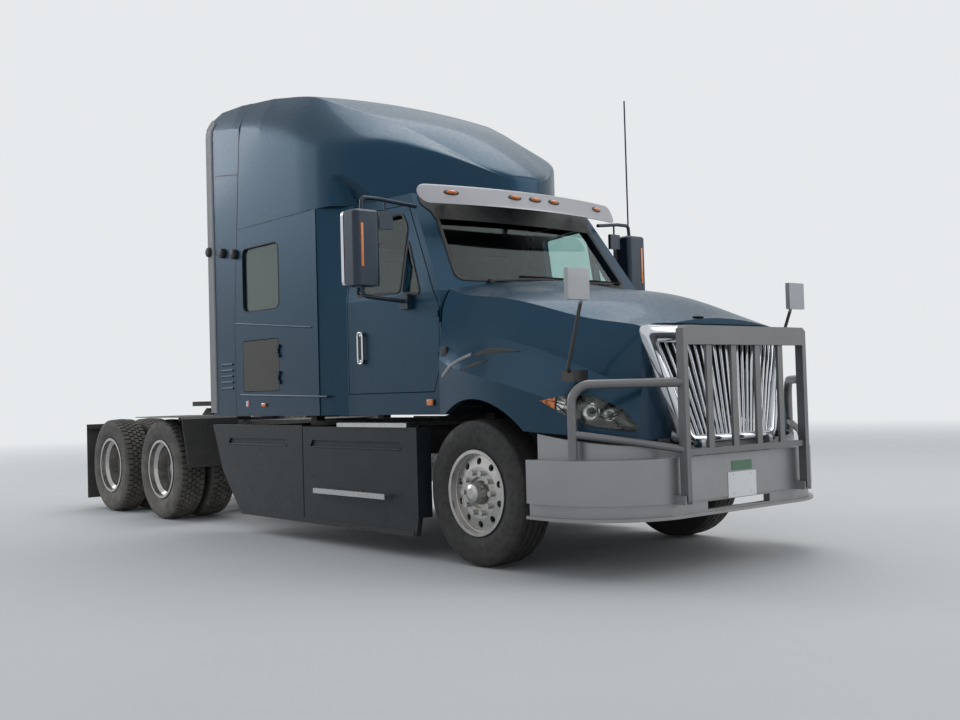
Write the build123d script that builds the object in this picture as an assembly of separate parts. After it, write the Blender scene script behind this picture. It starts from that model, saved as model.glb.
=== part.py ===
from build123d import *
import os
from math import asin, atan2, degrees, sqrt

# A conventional highway tractor with a high-roof sleeper, two driven rear axles and a grille guard.
# Millimetres. X points forward, Y to the driver's side (left), Z up.
# Places along the vehicle are measured from the front axle's centre line, heights from the ground.

# Wheels and axles
first_drive_x = -4976
tandem_spacing = 1320
tyre_radius = 510
tyre_width = 280
tread_crown = 8
rim_radius = 286
rim_lip_radius = 300
rim_wall = 12
front_wheel_y = 1010
dual_outer_y = 1085
dual_spacing = 340
dual_dish = 88
disc_plate = 22
hand_hole_radius = 24
hand_hole_circle = 218
stud_circle = 143
nut_radius = 19
wheel_bolts = 10
spindle_radius = 40
running_gap = 0.05
drum_radius = 205
drum_wall = 18

# Steering
kingpin_y = 930
kingpin_radius = 22
yoke_gap = 4
beam_depth = 95
beam_drop = 90

# Frame
rail_top = 980
rail_height = 270
rail_flange = 90
rail_plate = 9
rail_outer_y = 430
rail_front_x = 1050
rail_tail_x = -6930
bracket = 40

# Cab and sleeper
cab_bottom = 1050
floor_under = 1240
floor_top = 1300
belt_height = 1950
cab_top = 2750
cab_wall = 60
cab_front_x = -400
cab_half_width = 1090
header_x = -920
header_half_width = 940
windshield_bow = 90
pillar_x = -1620
sleeper_front_x = -1900
sleeper_rear_x = -3420
sleeper_half_width = 1200
sleeper_wall = 50
roof_height = 3985
extender_tail_x = -3780
extender_plate = 25
glass = 6
panel_gap = 6
seat_gap = 0.3

# Sun visor, by its lower and upper edges
visor_low_x = -660
visor_high_x = -715
visor_low_bow = 160
visor_high_bow = 150
visor_half = 1060
visor_taper = 20
visor_low_z = 2655
visor_high_z = 2785
lamp_depth = 22
lamp_gap = 0.8

# Doors
door_front_x = -425
door_rear_x = -1600
door_bottom = 1220
door_top = 2660
door_pillar_x = -930
hinge_offset = 10
hinge_pin_radius = 6
hinge_barrel_radius = 9
hinge_length = 40
luggage_front_x = -2540
luggage_rear_x = -3180
luggage_bottom = 1270
luggage_top = 1720

# Hood, arches and nose
hood_rear_x = -385
hood_nose_x = 1200
hood_wall = 32
hood_gap = 12
arch_radius = 680
arch_x = 50
arch_z = 480
arch_inner_y = 500
brow_x = 1255
brow_bottom = 1615
flare_width = 75
flare_height = 12
grille_top = 1600
grille_bottom = 840
grille_top_half = 770
grille_bottom_half = 480
grille_bow = 95
grille_plate = 30
slat_count = 13
slat_width = 24
hood_pivot_x = 1340
hood_pivot_z = 840
hood_arm_y = 386
hood_arm_plate = 14
hood_pin_radius = 12

# Bumper and guard
bumper_front_x = 1385
bumper_end_x = 600
bumper_half_width = 1210
bumper_corner = 600
bumper_bottom = 480
bumper_top = 760
bumper_plate = 50
lip_bottom = 380
guard_front_x = 1470
guard_depth = 60
guard_post_y = 632
guard_post_width = 40
guard_pivot_z = 500
guard_top = 1587
guard_bar_height = 121
guard_tube_radius = 30
pivot_pin_radius = 10
hoop_x = 970
hoop_y = -1145
plate_hole_z = (500, 621)

# Skirts, steps and tanks
skirt_front_x = -585
skirt_split_x = -2180
skirt_top = 970
skirt_bottom = 170
skirt_rear_top_x = -3810
skirt_knee_x = -3625
skirt_knee_z = 547
skirt_rear_bottom_x = -3290
skirt_plate = 40
tank_radius = 300
tank_y = 790
air_tank_x = -4150

# Fifth wheel
coupler_x = -5490
coupler_top = 1190
coupler_plate = 50
coupler_pivot_z = 1070
coupler_half_length = 450
coupler_half_width = 485
coupler_lug_y = 290
kingpin_seat_radius = 26
coupler_pin_radius = 20

# Rear end
fender_top = 1045
fender_plate = 8
flap_x = -6985
flap_plate = 12

drive_axles_x = [first_drive_x, first_drive_x - tandem_spacing]
middle_x = (guard_front_x + flap_x) / 2


def block(x_range, y_range, z_range):
    (x0, x1), (y0, y1), (z0, z1) = x_range, y_range, z_range
    return Pos((x0 + x1) / 2, (y0 + y1) / 2, (z0 + z1) / 2) * Box(x1 - x0, y1 - y0, z1 - z0)


# An outline in X and Z, drawn out along Y
def side_prism(points, y_range, corner=0):
    face = Polygon(*points, align=None)
    if corner:
        face = fillet(face.vertices(), corner)
    return extrude(Plane.XZ.offset(-y_range[1]) * face, amount=y_range[1] - y_range[0], dir=(0, -1, 0))


# An outline in X and Y, drawn out along Z
def plan_prism(points, z_range, corner=0):
    face = Polygon(*points, align=None)
    if corner:
        face = fillet(face.vertices(), corner)
    return extrude(Pos(0, 0, z_range[0]) * face, amount=z_range[1] - z_range[0], dir=(0, 0, 1))


# An outline in Y and Z, drawn out along X
def front_prism(points, x_range, corner=0):
    face = Polygon(*points, align=None)
    if corner:
        face = fillet(face.vertices(), corner)
    return extrude(Plane.YZ.offset(x_range[0]) * face, amount=x_range[1] - x_range[0], dir=(1, 0, 0))


def other_side(shape):
    return mirror(shape, about=Plane.XZ)


def both_sides(shape):
    return [shape, other_side(shape)]


# A shape drawn for the right side, on the side asked for
def to_side(shape, sign):
    return shape if sign < 0 else other_side(shape)


def across_rod(x, y_range, z, radius):
    return Pos(x, (y_range[0] + y_range[1]) / 2, z) * Rot(90, 0, 0) * Cylinder(radius, y_range[1] - y_range[0])


def upright_rod(x, y, z_range, radius):
    return Pos(x, y, (z_range[0] + z_range[1]) / 2) * Cylinder(radius, z_range[1] - z_range[0])


# A round bar along a path of straight runs with rounded corners
def tube(points, radius, bend):
    path = FilletPolyline(*points, radius=bend)
    start = path @ 0
    plane = Plane(origin=start, z_dir=path % 0)
    return sweep(plane * Circle(radius), path=path)


# A closed outline across the vehicle: half is its side from the base up to the shoulder,
# and the last edge of the side and the crown are arcs
def station(x, half, top, bulge):
    points = [Vector(x, -y, z) for y, z in half]
    right = [Line(a, b) for a, b in zip(points[:-2], points[1:-1])]
    start, end = points[-2], points[-1]
    middle = (start + end) / 2
    outward = Vector(0, end.Z - start.Z, -(end.Y - start.Y)).normalized()
    if outward.Y > 0:
        outward = outward * -1
    right.append(ThreePointArc(start, middle + outward * bulge, end))
    left = [other_side(edge) for edge in right]
    crown = ThreePointArc(end, Vector(x, 0, top), Vector(x, -end.Y, end.Z))
    base = Line(points[0], Vector(x, -points[0].Y, points[0].Z))
    return make_face(right + [crown] + left + [base])


# Tyre section: tread, round shoulder, bowed side wall and bead, turned about the axle
def tyre(y_centre):
    half = tyre_width / 2
    tread_half = half - 30
    shoulder = Vector(0, half - 12, tyre_radius - 45)
    side = Vector(0, half, (tyre_radius + rim_lip_radius) / 2)
    bead = Vector(0, half - 22, rim_lip_radius)
    seat = Vector(0, half - 30, rim_radius)
    tread_edge = Vector(0, tread_half, tyre_radius - tread_crown)
    right = [
        Line(Vector(0, 0, tyre_radius), tread_edge),
        ThreePointArc(tread_edge, Vector(0, half - 18, tyre_radius - 22), shoulder),
        ThreePointArc(shoulder, side, bead),
        Line(bead, seat),
        Line(seat, Vector(0, 0, rim_radius)),
    ]
    outline = right + [other_side(edge) for edge in right]
    ring = revolve(make_face(outline), axis=Axis.Y)
    return Pos(0, y_centre, 0) * ring


# A ring or disc turned about the axle from a section in Y and radius
def turned(points):
    return revolve(Plane.YZ * Polygon(*points, align=None), axis=Axis.Y)


# Rim barrel: two lips, bead seats and a drop centre between them
def barrel(y_centre):
    half = tyre_width / 2
    lip = half - 22 - seat_gap
    outer = rim_radius - seat_gap
    well = outer - 34
    section = [
        (-lip - 14, rim_lip_radius - 2), (-lip - 14, outer - rim_wall), (-lip + 34, outer - rim_wall),
        (-lip + 62, well - rim_wall), (lip - 62, well - rim_wall), (lip - 34, outer - rim_wall),
        (lip + 14, outer - rim_wall), (lip + 14, rim_lip_radius - 2), (lip, rim_lip_radius - 2),
        (lip, outer), (lip - 40, outer), (lip - 66, well), (-lip + 66, well), (-lip + 40, outer),
        (-lip, outer), (-lip, rim_lip_radius - 2),
    ]
    return Pos(0, y_centre, 0) * turned(section)


# Wheel disc with its hand holes: a flat bolting face and a cone out to the barrel
def disc(y_face, y_edge, radius):
    step = 1 if y_face > y_edge else -1
    section = [
        (y_face, spindle_radius + 70), (y_face, stud_circle + 35), (y_edge, radius), (y_edge - 12 * step, radius),
        (y_face - disc_plate * step, stud_circle + 35), (y_face - disc_plate * step, spindle_radius + 70),
    ]
    holes = [
        Rot(0, 360 / wheel_bolts * i, 0) * Pos(0, y_face, hand_hole_circle) * Rot(90, 0, 0)
        * Cylinder(hand_hole_radius, 160)
        for i in range(wheel_bolts)
    ]
    return turned(section) - holes


def nuts(y_face, length):
    return [
        Rot(0, 360 / wheel_bolts * (i + 0.5), 0) * Pos(0, y_face + length / 2, stud_circle) * Rot(90, 0, 0)
        * Cylinder(nut_radius, length)
        for i in range(wheel_bolts)
    ]


# Hub on the spindle, with the brake drum behind the disc
def hub(y_inner, y_flange, y_cap, cap_radius):
    bore = spindle_radius + running_gap
    flange = [(y_flange - 24, bore), (y_flange - 24, stud_circle + 30), (y_flange, stud_circle + 30),
              (y_flange, cap_radius + 22), (y_cap - 45, cap_radius + 8), (y_cap - 12, cap_radius),
              (y_cap, cap_radius - 25), (y_cap, 0), (y_cap - 20, 0), (y_cap - 20, bore)]
    drum = [(y_flange - 24, stud_circle), (y_flange - 24, drum_radius - drum_wall - 6),
            (y_inner, drum_radius - drum_wall),
            (y_inner, drum_radius), (y_flange - 40, drum_radius), (y_flange - 10, stud_circle + 30),
            (y_flange - 10, stud_circle)]
    return turned(flange) + turned(drum)


# Front wheels stand with the disc near the outer lip, and a domed oil cap
def front_wheel():
    lip_y = front_wheel_y + tyre_width / 2 - 30
    face = lip_y - 12
    edge_y = lip_y - 30
    wheel = barrel(front_wheel_y) + disc(face, edge_y, rim_radius - rim_wall)
    wheel = wheel + hub(front_wheel_y - 105, face - disc_plate, face + 78, 62)
    return wheel + nuts(face, 32)


# Drive wheels: two barrels bolted face to face on one hub, the outer one dished deep
def drive_wheel():
    middle = dual_outer_y - dual_spacing / 2
    wheel = barrel(dual_outer_y) + barrel(dual_outer_y - dual_spacing)
    edge = rim_radius - rim_wall
    discs = disc(middle, middle + dual_dish, edge) + disc(middle, middle - dual_dish, edge)
    wheel = wheel + discs + hub(middle - 250, middle - disc_plate, middle + 175, 78)
    return wheel + nuts(middle + disc_plate, 30)


def place_wheel(shape, x, side):
    placed = Pos(x, 0, tyre_radius) * shape
    return placed if side > 0 else other_side(placed)


# Front axle: a dropped forged beam with bored ends, and a leaf spring over each end of its centre
def front_axle():
    half_depth = beam_depth / 2
    low = tyre_radius - beam_drop
    end_y = kingpin_y - 40
    outline = [(-end_y, tyre_radius + 40), (-end_y, tyre_radius - 40), (-700, tyre_radius - 60), (-560, low - 45),
               (560, low - 45), (700, tyre_radius - 60), (end_y, tyre_radius - 40), (end_y, tyre_radius + 40),
               (690, tyre_radius + 30), (540, low + 45), (-540, low + 45), (-690, tyre_radius + 30)]
    beam = front_prism(outline, (-half_depth, half_depth))
    web = [(-500, low - 28), (500, low - 28), (500, low + 28), (-500, low + 28)]
    beam = beam - [front_prism(web, (12, half_depth)), front_prism(web, (-half_depth, -12))]
    eye = upright_rod(0, kingpin_y, (tyre_radius - 60, tyre_radius + 60), 48)
    beam = beam + both_sides(eye)
    beam = beam - both_sides(upright_rod(0, kingpin_y, (tyre_radius - 80, tyre_radius + 80), kingpin_radius + running_gap))
    return beam + both_sides(leaf_spring())


def leaf_spring():
    y_range = (rail_outer_y - 80, rail_outer_y)
    base = tyre_radius - beam_drop + 45
    rail_bottom = rail_top - rail_height
    spring = side_prism([(-60, base), (60, base), (60, base + 30), (700, base + 105), (700, base + 121), (60, base + 75),
                         (-60, base + 75), (-700, base + 121), (-700, base + 105), (-60, base + 30)], y_range)
    hangers = [block((x - 30, x + 30), y_range, (base + 90, rail_bottom - seat_gap)) for x in (-690, 690)]
    return spring + hangers


# Steering knuckle: a yoke round the beam's eye, its kingpin, the spindle and the steering arm
def knuckle():
    top = tyre_radius + 60 + yoke_gap
    low = tyre_radius - 60 - yoke_gap
    arm = 42
    plate_y = kingpin_y + 48 + yoke_gap
    yoke = block((-50, 50), (kingpin_y, plate_y + 30), (top, top + arm))
    yoke = yoke + upright_rod(0, kingpin_y, (top, top + arm), 50)
    lower = block((-50, 50), (kingpin_y, plate_y + 30), (low - arm, low)) + upright_rod(0, kingpin_y, (low - arm, low), 50)
    plate = block((-50, 50), (plate_y, plate_y + 30), (low - arm, top + arm))
    pin = upright_rod(0, kingpin_y, (low - arm, top + arm), kingpin_radius)
    spindle = across_rod(0, (plate_y, front_wheel_y + tyre_width / 2 - 30 - 12 + 50), tyre_radius, spindle_radius)
    steering_arm = plan_prism([(-20, kingpin_y - 20), (-210, kingpin_y - 60), (-210, kingpin_y - 110), (-60, kingpin_y - 45)],
                              (low - arm, low - 12))
    return yoke + lower + plate + pin + spindle + steering_arm


# Frame: two channel rails, cross members, and the brackets that carry the cab, skirts, fenders and flaps
def chassis_frame():
    low = rail_top - rail_height
    inner = rail_outer_y - rail_flange
    channel = [(rail_outer_y, low), (rail_outer_y, rail_top), (inner, rail_top), (inner, rail_top - rail_plate),
               (rail_outer_y - rail_plate, rail_top - rail_plate), (rail_outer_y - rail_plate, low + rail_plate),
               (inner, low + rail_plate), (inner, low)]
    frame = front_prism(channel, (rail_tail_x, rail_front_x))
    frame = frame + other_side(frame)
    web_y = rail_outer_y - rail_plate
    member_places = [rail_front_x - 60, -1850, -3050, air_tank_x, -5636, rail_tail_x + 30]
    members = [block((x - 30, x + 30), (-web_y, web_y), (low + 40, low + 90)) for x in member_places]
    cab_mounts = [block((x - 50, x + 50), (inner, rail_outer_y), (rail_top, floor_under - seat_gap)) for x in (-650, -3250)]
    skirt_hangers = [
        block((x - bracket / 2, x + bracket / 2), (web_y, sleeper_half_width - skirt_plate - seat_gap),
              (skirt_top - 50, skirt_top - 10))
        for x in (-900, -2060, -2300, -3350)
    ]
    rod_z = fender_top - fender_plate - 20 - seat_gap
    rod_x = first_drive_x + 300
    fender_rods = [across_rod(rod_x, (inner, sleeper_half_width - 60), rod_z, 20),
                   block((rod_x - 15, rod_x + 15), (inner, rail_outer_y), (rail_top, rod_z))]
    flap_hanger = block((flap_x + flap_plate + seat_gap, flap_x + flap_plate + 40), (web_y, sleeper_half_width), (905, 945))
    flap_post = block((flap_x + flap_plate + seat_gap, rail_tail_x + 20), (web_y - 60, web_y), (905, 945))
    side = cab_mounts + skirt_hangers + fender_rods + [flap_hanger, flap_post]
    frame = frame + members + side + [other_side(piece) for piece in side]
    deck = block((-4300, -3500), (-web_y, web_y), (rail_top, rail_top + 8))
    return frame + deck


# Drive axles: housing with its round centre, spindles, trailing arms and air springs
def drive_axle(x):
    tip = dual_outer_y - dual_spacing / 2 + 150
    shaft = across_rod(x, (-tip, tip), tyre_radius, spindle_radius)
    housing = across_rod(x, (-600, 600), tyre_radius, 70)
    bowl = Pos(x, 0, tyre_radius) * Sphere(205)
    nose = Pos(x + 230, 0, tyre_radius + 20) * Rot(0, 90, 0) * Cone(110, 65, 200)
    axle = shaft + housing + bowl + nose
    rail_bottom = rail_top - rail_height
    y_range = (rail_outer_y - 85, rail_outer_y - 5)
    arm = side_prism([(x + 470, 620), (x + 470, 560), (x + 80, tyre_radius - 110), (x - 380, tyre_radius - 110),
                      (x - 380, tyre_radius - 70), (x + 80, tyre_radius - 60)], y_range)
    hanger = block((x + 420, x + 480), y_range, (560, rail_bottom - seat_gap))
    bag = upright_rod(x - 290, rail_outer_y - 45, (tyre_radius - 72, rail_bottom - seat_gap), 118)
    chamber = Pos(x + 150, 500, tyre_radius + 20) * Rot(0, 90, 0) * Cylinder(75, 190)
    return axle + both_sides(arm) + both_sides(hanger) + both_sides(bag) + both_sides(chamber)


def engine_block():
    engine = block((-300, 850), (-300, 300), (620, 1540))
    gearbox = side_prism([(-300, 700), (-300, 1180), (-620, 1180), (-1550, 1000), (-1550, 760), (-700, 700)], (-230, 230))
    web_y = rail_outer_y - rail_plate - seat_gap
    mounts = [block((x - 50, x + 50), (y, web_y), (800, 860)) for x, y in ((450, 290), (-620, 220))]
    return engine + gearbox + mounts + [other_side(mount) for mount in mounts]


def radiator():
    low = rail_top - rail_height + 90
    outline = [(-330, low + seat_gap), (330, low + seat_gap), (330, rail_top + 5), (500, rail_top + 5), (500, 1480),
               (-500, 1480), (-500, rail_top + 5), (-330, rail_top + 5)]
    return front_prism(outline, (rail_front_x - 100, rail_front_x - 30))


# A door hinge standing proud of the skin at its outer front corner: the pin and its lugs stay
# with the body, the barrel and its leaf go with the door
def hinge_fixed(x, skin_y, z):
    axis_y = skin_y - hinge_offset
    gap = 4
    pieces = [upright_rod(x, axis_y, (z - hinge_length * 1.4, z + hinge_length * 1.4), hinge_pin_radius)]
    for low in (z - hinge_length * 1.4, z + hinge_length / 2 + gap):
        z_range = (low, low + hinge_length * 0.9 - gap)
        pieces.append(upright_rod(x, axis_y, z_range, hinge_barrel_radius - 1))
        pieces.append(block((x, x + 24), (axis_y - 7, skin_y + 3), z_range))
    return pieces


def hinge_moving(x, skin_y, z):
    axis_y = skin_y - hinge_offset
    z_range = (z - hinge_length / 2, z + hinge_length / 2)
    barrel = upright_rod(x, axis_y, z_range, hinge_barrel_radius)
    leaf = block((x - 40, x), (axis_y - 4, skin_y + 3), z_range)
    bore = upright_rod(x, axis_y, (z - hinge_length, z + hinge_length), hinge_pin_radius + running_gap)
    return barrel + leaf - bore


# Cab body between two heights, drawn in by inset: bowed front, straight sides and a flare to the sleeper
def cab_section(z, front_x, half, waist, tail, inset, reach):
    half = half - inset
    waist = waist - inset
    tail = tail - inset
    mid = Vector(pillar_x, -waist, z)
    corner = mid + (Vector(front_x - inset, -half, z) - mid) * reach
    front = corner.X
    end = Vector(sleeper_front_x, -tail, z)
    right = [Line(corner, mid), Line(mid, end)]
    left = [other_side(edge) for edge in right]
    nose = ThreePointArc(corner, Vector(front + windshield_bow, 0, z), Vector(front, -corner.Y, z))
    back = Line(end, Vector(end.X, -end.Y, z))
    return make_face(right + left + [nose, back])


def cab_body(inset, low, high, reach=1):
    tail = sleeper_half_width - 10
    belt = cab_section(belt_height, cab_front_x, cab_half_width, cab_half_width + 10, tail, inset, reach)
    base = cab_section(low, cab_front_x, cab_half_width, cab_half_width + 10, tail, inset, reach)
    share = (high - belt_height) / (cab_top - belt_height)
    top_x = cab_front_x + (header_x - cab_front_x) * share
    top_half = cab_half_width + (header_half_width - cab_half_width) * share
    top = cab_section(high, top_x, top_half, top_half + 10 + 50 * share, tail, inset, reach)
    return loft([base, belt], ruled=True) + loft([belt, top], ruled=True)


def door_outline(grow):
    slope = (door_front_x - door_pillar_x) / 800
    return [
        (door_front_x + grow, 1400 - grow), (-500 + grow, door_bottom - grow), (door_rear_x - grow, door_bottom - grow),
        (door_rear_x - grow, door_top + grow), (door_pillar_x + grow, door_top + grow),
        (door_front_x + grow, door_top - (door_front_x - door_pillar_x) / slope + grow),
    ]


def door_windows():
    main = [(-895, 1975), (-1480, 1995), (-1480, 2580), (-985, 2600), (-895, 2475)]
    vent = [(-640, 1945), (-865, 1965), (-865, 2370)]
    return main, vent


side_reach = (-1400, -700)
door_reach = 1.2
door_hinges_z = (1480, 1780)
hatch_hinges_z = (1380, 1610)


def cab_skin(inset, thickness, reach=1):
    skin = cab_body(inset, cab_bottom - 10, cab_top + 10, reach)
    return skin - cab_body(inset + thickness, cab_bottom - 20, cab_top + 20, reach)


windshield_outline = [(-900, 2045), (900, 2045), (800, 2640), (-800, 2640)]


def cab_shell():
    body = cab_body(0, cab_bottom, cab_top)
    room = cab_body(cab_wall, floor_top, cab_top - cab_wall)
    shell = body - room
    under = block((sleeper_front_x - 10, cab_front_x - cab_wall), (-1020, 1020), (cab_bottom - 10, floor_under))
    passage = block((sleeper_front_x - 10, sleeper_front_x + 200), (-1060, 1060), (floor_top, cab_top - cab_wall))
    tunnel = block((cab_front_x - 300, 0), (-330, 330), (cab_bottom - 10, floor_under))
    shell = shell - under - passage - tunnel
    doorway = side_prism(door_outline(panel_gap), side_reach)
    shell = shell - both_sides(doorway) - front_prism(windshield_outline, (header_x - 20, 0), 60)
    for z in door_hinges_z:
        for piece in hinge_fixed(door_front_x, -cab_half_width, z):
            shell = shell + both_sides(piece)
    return shell


# The door is cut from the side skin alone, with the front wall moved out of its way
def door():
    skin = cab_skin(0, cab_wall, door_reach)
    panel = skin & side_prism(door_outline(0), side_reach)
    main, vent = door_windows()
    panel = panel - side_prism(main, side_reach, 35) - side_prism(vent, side_reach, 20)
    return panel + [hinge_moving(door_front_x, -cab_half_width, z) for z in door_hinges_z]


def door_glass():
    skin = cab_skin(cab_wall / 2, glass)
    main, vent = door_windows()
    return [skin & side_prism(main, side_reach, 35), skin & side_prism(vent, side_reach, 20)]


sleeper_window = [(-2520, 1985), (-3165, 1985), (-3165, 2560), (-2520, 2560)]
luggage_outline = [(luggage_front_x, luggage_bottom), (luggage_rear_x, luggage_bottom), (luggage_rear_x, luggage_top),
                   (luggage_front_x, luggage_top)]


def grown(points, amount):
    middle_px = sum(x for x, z in points) / len(points)
    middle_pz = sum(z for x, z in points) / len(points)
    return [(x + amount * (1 if x > middle_px else -1), z + amount * (1 if z > middle_pz else -1)) for x, z in points]


# The line where the side extender meets the sleeper, leaning forward as it rises
extender_outline = [(-3330, cab_bottom), (-3330, 1900), (-3255, cab_top), (-3130, roof_height + 40),
                    (extender_tail_x + 170, roof_height + 40), (extender_tail_x + 130, roof_height - 65),
                    (extender_tail_x + 40, roof_height - 115), (extender_tail_x, roof_height - 200),
                    (extender_tail_x, cab_bottom)]


def sleeper_shell():
    half = sleeper_half_width
    body = block((sleeper_rear_x, sleeper_front_x), (-half, half), (cab_bottom, cab_top))
    wall = sleeper_wall
    room = block((sleeper_rear_x + wall, sleeper_front_x + 1), (-half + wall, half - wall), (floor_top, cab_top + 1))
    under = block((sleeper_rear_x + wall, sleeper_front_x + 1), (-half + wall, half - wall), (cab_bottom - 1, floor_under))
    shell = body - room - under
    window = side_prism(sleeper_window, (-half - 1, -half + wall + 1), 70)
    hatch = side_prism(grown(luggage_outline, panel_gap), (-half - 1, -half + wall + 1), 30)
    rebate = side_prism(extender_outline, (-half - 1, -half + extender_plate))
    shell = shell - both_sides(window) - both_sides(hatch) - both_sides(rebate)
    for z in hatch_hinges_z:
        for piece in hinge_fixed(luggage_front_x, -half, z):
            shell = shell + both_sides(piece)
    return shell


def luggage_door():
    panel = side_prism(luggage_outline, (-sleeper_half_width, -sleeper_half_width + sleeper_wall), 25)
    return panel + [hinge_moving(luggage_front_x, -sleeper_half_width, z) for z in hatch_hinges_z]


# Roof: x, the side's height at the shell's widest, half width and height of the shoulder, the crown's
# height, and the bulge between side and shoulder
roof_stations = [
    (extender_tail_x, 3400, 1125, 3925, 3985, 45),
    (-3300, 3360, 1095, 3920, 3985, 50),
    (-2800, 3300, 1040, 3885, 3955, 60),
    (-2300, 3210, 960, 3805, 3855, 70),
    (-1900, 3120, 850, 3640, 3700, 80),
    (-1400, 2990, 620, 3400, 3480, 85),
    (-1000, 2890, 460, 3150, 3230, 70),
    (-720, 2820, 350, 2960, 3005, 40),
    (-600, 2780, 260, 2860, 2880, 15),
]
roof_side = 1230
roof_plan = [(-600, 600), (-760, 880), (-1000, 1010), (-1600, 1130), (-1900, sleeper_half_width),
             (extender_tail_x - 500, sleeper_half_width)]
roof_plan_corner = 150
roof_tall = 1400

# The hollow over each door, seen from the front: under it the roof's side stands back over the cab
recess_low_z = 2700
recess_top_z = 2975
recess_rear_x = -1620
recess_corner = 90
brow_recess = [(-1400, recess_low_z), (-985, recess_low_z), (-985, 2755), (-1110, recess_top_z), (-1400, recess_top_z)]
over_visor_x = -810


def roof_recess(inset):
    outline = [(y + inset, z + inset) for y, z in brow_recess]
    rear, low, high = recess_rear_x - inset, recess_low_z - 100, recess_top_z + inset
    region = side_prism([(rear, low), (rear, high), (0, high), (0, low)], (-1500, -700), recess_corner)
    return both_sides(front_prism(outline, (rear, 0)) & region)


def roof_body(inset, open_rear=False):
    faces = []
    used = roof_stations[:-1] if inset else roof_stations
    rear_x = extender_tail_x - 1 if open_rear else extender_tail_x + inset
    for x, side_z, shoulder, shoulder_z, top, bulge in used:
        x = x if inset == 0 else min(max(x, rear_x), used[-1][0] - inset)
        x = rear_x if open_rear and x == extender_tail_x else x
        upper = (shoulder - inset * 0.7, shoulder_z - inset * 0.8)
        half = [(roof_side - inset, cab_top - 50), (roof_side - inset, side_z), upper]
        faces.append(station(x, half, top - inset, bulge))
    points = roof_plan + [(x, -y) for x, y in reversed(roof_plan)]
    face = Polygon(*points, align=None)
    face = fillet(face.vertices(), roof_plan_corner)
    if inset:
        face = offset(face, -inset)
    low = cab_top + (0 if open_rear else inset)
    crown = loft(faces[:3], ruled=True) + loft(faces[2:])
    body = crown & extrude(Pos(0, 0, low) * face, amount=roof_tall, dir=(0, 0, 1))
    over_visor = block((over_visor_x - inset, 0), (-1300, 1300), (low - 10, visor_high_z + 10 + inset))
    return body - roof_recess(inset) - over_visor


def roof_fairing(outer, inner):
    shell = outer - inner
    mouth = block((sleeper_rear_x + sleeper_wall, sleeper_front_x - 60),
                  (-sleeper_half_width + sleeper_wall, sleeper_half_width - sleeper_wall), (cab_top - 10, cab_top + 60))
    shell = shell - mouth
    behind = block((extender_tail_x - 10, sleeper_rear_x), (-1300, 1300), (cab_top - 10, roof_height + 50))
    shell = shell - behind
    wall = block((sleeper_rear_x, sleeper_rear_x + sleeper_wall), (-1300, 1300), (cab_top, roof_height + 50)) & outer
    under = block((sleeper_rear_x - 1, 0), (-1300, 1300), (cab_bottom, cab_top))
    shell = shell + wall - cab_body(0, cab_bottom, cab_top) - under
    return shell - side_extenders(outer)


# The side extenders carry the sleeper's and the roof's outer skin on behind the rear wall
def side_extenders(outer):
    lower = block((extender_tail_x, sleeper_front_x), (-sleeper_half_width, sleeper_half_width), (cab_bottom, cab_top))
    half = sleeper_half_width - extender_plate
    core = block((extender_tail_x - 1, sleeper_front_x + 1), (-half, half), (cab_bottom - 1, cab_top + 1))
    skin = (outer - roof_body(extender_plate, open_rear=True)) + (lower - core)
    region = side_prism(extender_outline, (-1300, -700))
    return [skin & region, skin & other_side(region)]


# Hood: x, then half width and height of the lower edge, fender side, valley and shoulder, and the crown's height
hood_stations = [
    (hood_rear_x, 1130, 1050, 1130, 1450, 1085, 1780, 1015, 1965, 2050),
    (50, 1200, 1000, 1200, 1330, 1010, 1590, 935, 1865, 1985),
    (450, 1195, 950, 1195, 1240, 950, 1490, 860, 1770, 1920),
    (800, 1090, 920, 1090, 1120, 860, 1350, 780, 1670, 1850),
    (1050, 935, 890, 935, 1020, 790, 1250, 735, 1625, 1750),
    (brow_x, 720, 870, 720, 960, 715, 1220, 715, 1565, 1655),
]


def hood_body(inset):
    faces = []
    for x, low, low_z, fender, fender_z, valley, valley_z, shoulder, shoulder_z, top in hood_stations:
        if x == hood_rear_x and inset > 0:
            x = x - 10
        x = x if inset < 0 else min(x, brow_x if inset == 0 else hood_nose_x - inset)
        drop = 400 if inset > 0 else 0
        half = [(low - inset, low_z - drop), (fender - inset, fender_z - inset * 0.4), (valley - inset, valley_z - inset * 0.5),
                (shoulder - inset * 0.8, shoulder_z - inset * 0.8)]
        faces.append(station(x, half, top - inset, 12))
    return loft(faces)


# The surround's outline, drawn in by a band at the top and sides and by another at the foot
def grille_outline(top_band, side_band, foot_band):
    top_half, low_half = grille_top_half - side_band, grille_bottom_half - side_band * 0.6
    return [(-top_half, grille_top - top_band), (top_half, grille_top - top_band),
            (low_half, grille_bottom + foot_band), (-low_half, grille_bottom + foot_band)]


# Headlamp outline, along the fender's corner and up, from the amber tip to the inner end
lamp_plane = Plane(origin=(950, -1000, 1050), x_dir=(0.853, 0.522, 0), z_dir=(0.522, -0.853, 0))
lamp_outline = [(-307, 88), (-120, 122), (40, 112), (230, 20), (335, -100), (300, -122), (60, -90), (-110, -25)]


def lamp_prism(grow):
    face = make_face(Polyline(*lamp_outline, close=True).edges())
    face = fillet(face.vertices(), 14)
    if grow:
        face = offset(face, grow)
    return extrude(lamp_plane.offset(-320) * face, amount=520, dir=lamp_plane.z_dir)


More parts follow.
